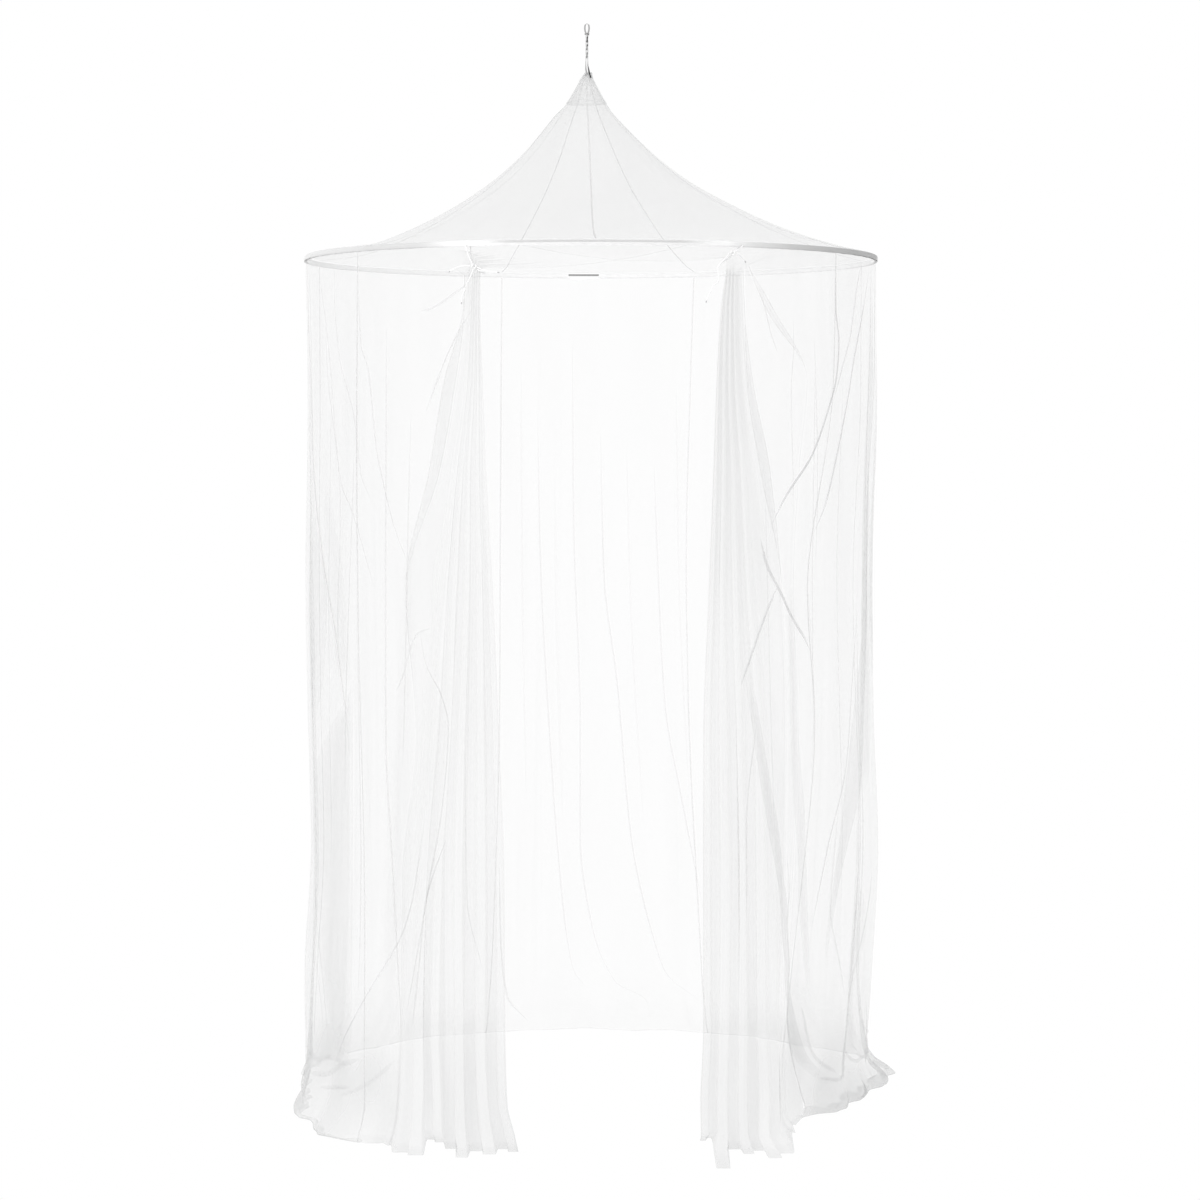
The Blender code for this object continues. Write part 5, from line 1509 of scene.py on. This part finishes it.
KNOTS = {
    "tie_left_knot": (-0.2805, 0.7749, 2.1380),
    "tie_right_knot": (0.3450, 0.7749, 2.1725),
}
TIE_ENDS = {
    "tie_left_end_outer": (
        (-0.2884, 0.7778, 2.1385), (-0.296, 0.779, 2.14), (-0.3083, 0.7765, 2.1395),
        (-0.3254, 0.7755, 2.1355), (-0.3424, 0.7745, 2.126),
    ),
    "tie_left_end_inner": (
        (-0.2726, 0.7721, 2.1365), (-0.2573, 0.776, 2.129), (-0.24, 0.778, 2.125), (-0.2185, 0.7775, 2.122),
    ),
    "tie_left_end_low": (
        (-0.282, 0.7755, 2.1314), (-0.287, 0.779, 2.118), (-0.2938, 0.78, 2.1035), (-0.3005, 0.7805, 2.089),
        (-0.3059, 0.7805, 2.075), (-0.3092, 0.7805, 2.062), (-0.3108, 0.78, 2.048),
    ),
    "tie_right_end_low": (
        (0.3366, 0.7716, 2.1715), (0.331, 0.775, 2.164), (0.324, 0.7775, 2.155), (0.313, 0.778, 2.144),
        (0.308, 0.778, 2.134), (0.3105, 0.7775, 2.122), (0.311, 0.777, 2.111), (0.3075, 0.777, 2.1),
        (0.298, 0.777, 2.093), (0.29, 0.777, 2.077), (0.284, 0.7765, 2.064), (0.2796, 0.776, 2.051),
    ),
    "tie_right_end_outer": (
        (0.3529, 0.7786, 2.1715), (0.36, 0.779, 2.169), (0.367, 0.776, 2.164), (0.373, 0.7755, 2.1575),
        (0.378, 0.775, 2.15),
    ),
}

tie_string = woven("tie string", 0.74, 0.94, 0.7, 0.0008, 0.0002)
sealed_tip = woven("sealed string tip", 0.34, 0.48, 0.5, 0.0008, 0.0001)


def route_through(points, spacing):
    """Points along a Catmull-Rom curve through the given ones."""
    spots = np.array([hung(*point) for point in points])
    ends = np.concatenate([[2 * spots[0] - spots[1]], spots, [2 * spots[-1] - spots[-2]]])
    route = []
    for before, start, end, after in zip(ends, ends[1:], ends[2:], ends[3:]):
        count = max(2, int(round(np.linalg.norm(end - start) / spacing)))
        for t in np.arange(count) / count:
            route.append(
                0.5
                * (
                    2 * start
                    + (end - before) * t
                    + (2 * before - 5 * start + 4 * end - after) * t**2
                    + (3 * start - before - 3 * end + after) * t**3
                )
            )
    return np.array([*route, spots[-1]])


for name, points in TIE_SLINGS.items():
    route = route_through(points, ROUTE_STEP)
    sling = build(
        f"{name}_string",
        [(tube_grid(route, TIE_DIAMETER / 2, STRING_SIDES, strands=3, lay=STRAND_LAY), 1.0, True)],
        tie_string,
    )
    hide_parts(name)

for name, (x, radius, height) in KNOTS.items():
    heart = hung(x, radius, height)
    patches = []
    for lean, wide, tall in ((0.5, 0.0056, 0.0036), (-0.7, 0.0052, 0.0038), (1.5, 0.0036, 0.0048)):
        turn = np.linspace(0.0, math.tau * 0.98, 48)
        route = np.stack(
            [
                heart[0] + wide * np.cos(turn) * math.cos(lean) - tall * np.sin(turn) * math.sin(lean),
                heart[1] + 0.0024 * np.sin(turn * 2 + lean),
                heart[2] + wide * np.cos(turn) * math.sin(lean) + tall * np.sin(turn) * math.cos(lean),
            ],
            1,
        )
        patches.append((tube_grid(route, TIE_DIAMETER / 2, 10, strands=3, lay=STRAND_LAY), 1.0, True))
    knot = build(f"{name}_turns", patches, tie_string)
    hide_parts(name)

for name, points in TIE_ENDS.items():
    route = route_through(points, ROUTE_STEP)
    string = build(
        f"{name}_string",
        [(tube_grid(route, END_DIAMETER / 2, STRING_SIDES, strands=3, lay=STRAND_LAY), 1.0, True)],
        tie_string,
    )
    string.data.materials.append(sealed_tip)
    for face in string.data.polygons[-STRING_SIDES * SEALED_ROWS :]:
        face.material_index = 1
    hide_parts(name)

# ---- Floor, light and camera --------------------------------------------------------------------------
# A plain pale floor, flat round the canopy, that far off sweeps up on every side. A large soft lamp stands at
# the left, and a weaker one at the right.

FLAT_REACH, SWEEP, FLOOR_SIDES = 30.0, 20.0, 96
sweep_turns = np.linspace(0.05, 1.55, 24)
floor_rings = [(0.01, 0.0), (FLAT_REACH, 0.0)]
floor_rings += [(FLAT_REACH + SWEEP * math.sin(turn), SWEEP * (1.0 - math.cos(turn))) for turn in sweep_turns]
floor_turns = np.arange(FLOOR_SIDES) * math.tau / FLOOR_SIDES
floor_points = [
    (radius * math.cos(turn), radius * math.sin(turn), -DROP - 0.0002 + rise)
    for radius, rise in floor_rings
    for turn in floor_turns
]
floor_faces = []
for row in range(len(floor_rings) - 1):
    for spot in range(FLOOR_SIDES):
        here, above, beside = FLOOR_SIDES * row, FLOOR_SIDES * (row + 1), (spot + 1) % FLOOR_SIDES
        floor_faces.append((here + spot, here + beside, above + beside, above + spot))
floor_mesh = bpy.data.meshes.new("floor")
floor_mesh.from_pydata(floor_points, [], [*floor_faces, tuple(range(FLOOR_SIDES))[::-1]])
floor_mesh.shade_smooth()
floor = bpy.data.objects.new("floor", floor_mesh)
bpy.context.scene.collection.objects.link(floor)
pale, _, pale_shader = new_material("pale floor")
pale_shader.inputs["Base Color"].default_value = (0.0, 0.0, 0.0, 1.0)
pale_shader.inputs["Roughness"].default_value = 1.0
pale_shader.inputs["Specular IOR Level"].default_value = 0.0
pale_shader.inputs["Emission Color"].default_value = (1.0, 1.0, 1.0, 1.0)
pale_shader.inputs["Emission Strength"].default_value = 1.0
floor_mesh.materials.append(pale)

scene = bpy.context.scene
scene.view_settings.view_transform = "Standard"
scene.view_settings.look = "None"
scene.cycles.transparent_max_bounces = 96
scene.cycles.max_bounces = 6

world = bpy.data.worlds.new("studio")
world.use_nodes = True
world.node_tree.nodes["Background"].inputs["Color"].default_value = (1.0, 1.0, 1.0, 1.0)
world.node_tree.nodes["Background"].inputs["Strength"].default_value = 1.0
scene.world = world

for name, at, aim, size, power in (
    ("key", (-3.4, -4.4, 1.4), (0.0, 0.0, -1.2), 3.0, 125.0),
    ("fill", (3.8, -4.6, 0.4), (0.0, 0.0, -1.4), 3.0, 25.0),
):
    lamp = bpy.data.lights.new(name, "AREA")
    lamp.size = size
    lamp.energy = power
    light = bpy.data.objects.new(name, lamp)
    light.location = at
    light.rotation_euler = (Vector(aim) - Vector(at)).to_track_quat("-Z", "Y").to_euler()
    scene.collection.objects.link(light)

eye = bpy.data.cameras.new("camera")
eye.sensor_width = 36.0
eye.lens = 95.1
eye.clip_end = 200.0
camera = bpy.data.objects.new("camera", eye)
camera.location = (0.0344, -8.4, -1.12)
camera.rotation_euler = (math.radians(90.0 - 2.704), 0.0, 0.0)
scene.collection.objects.link(camera)
scene.camera = camera
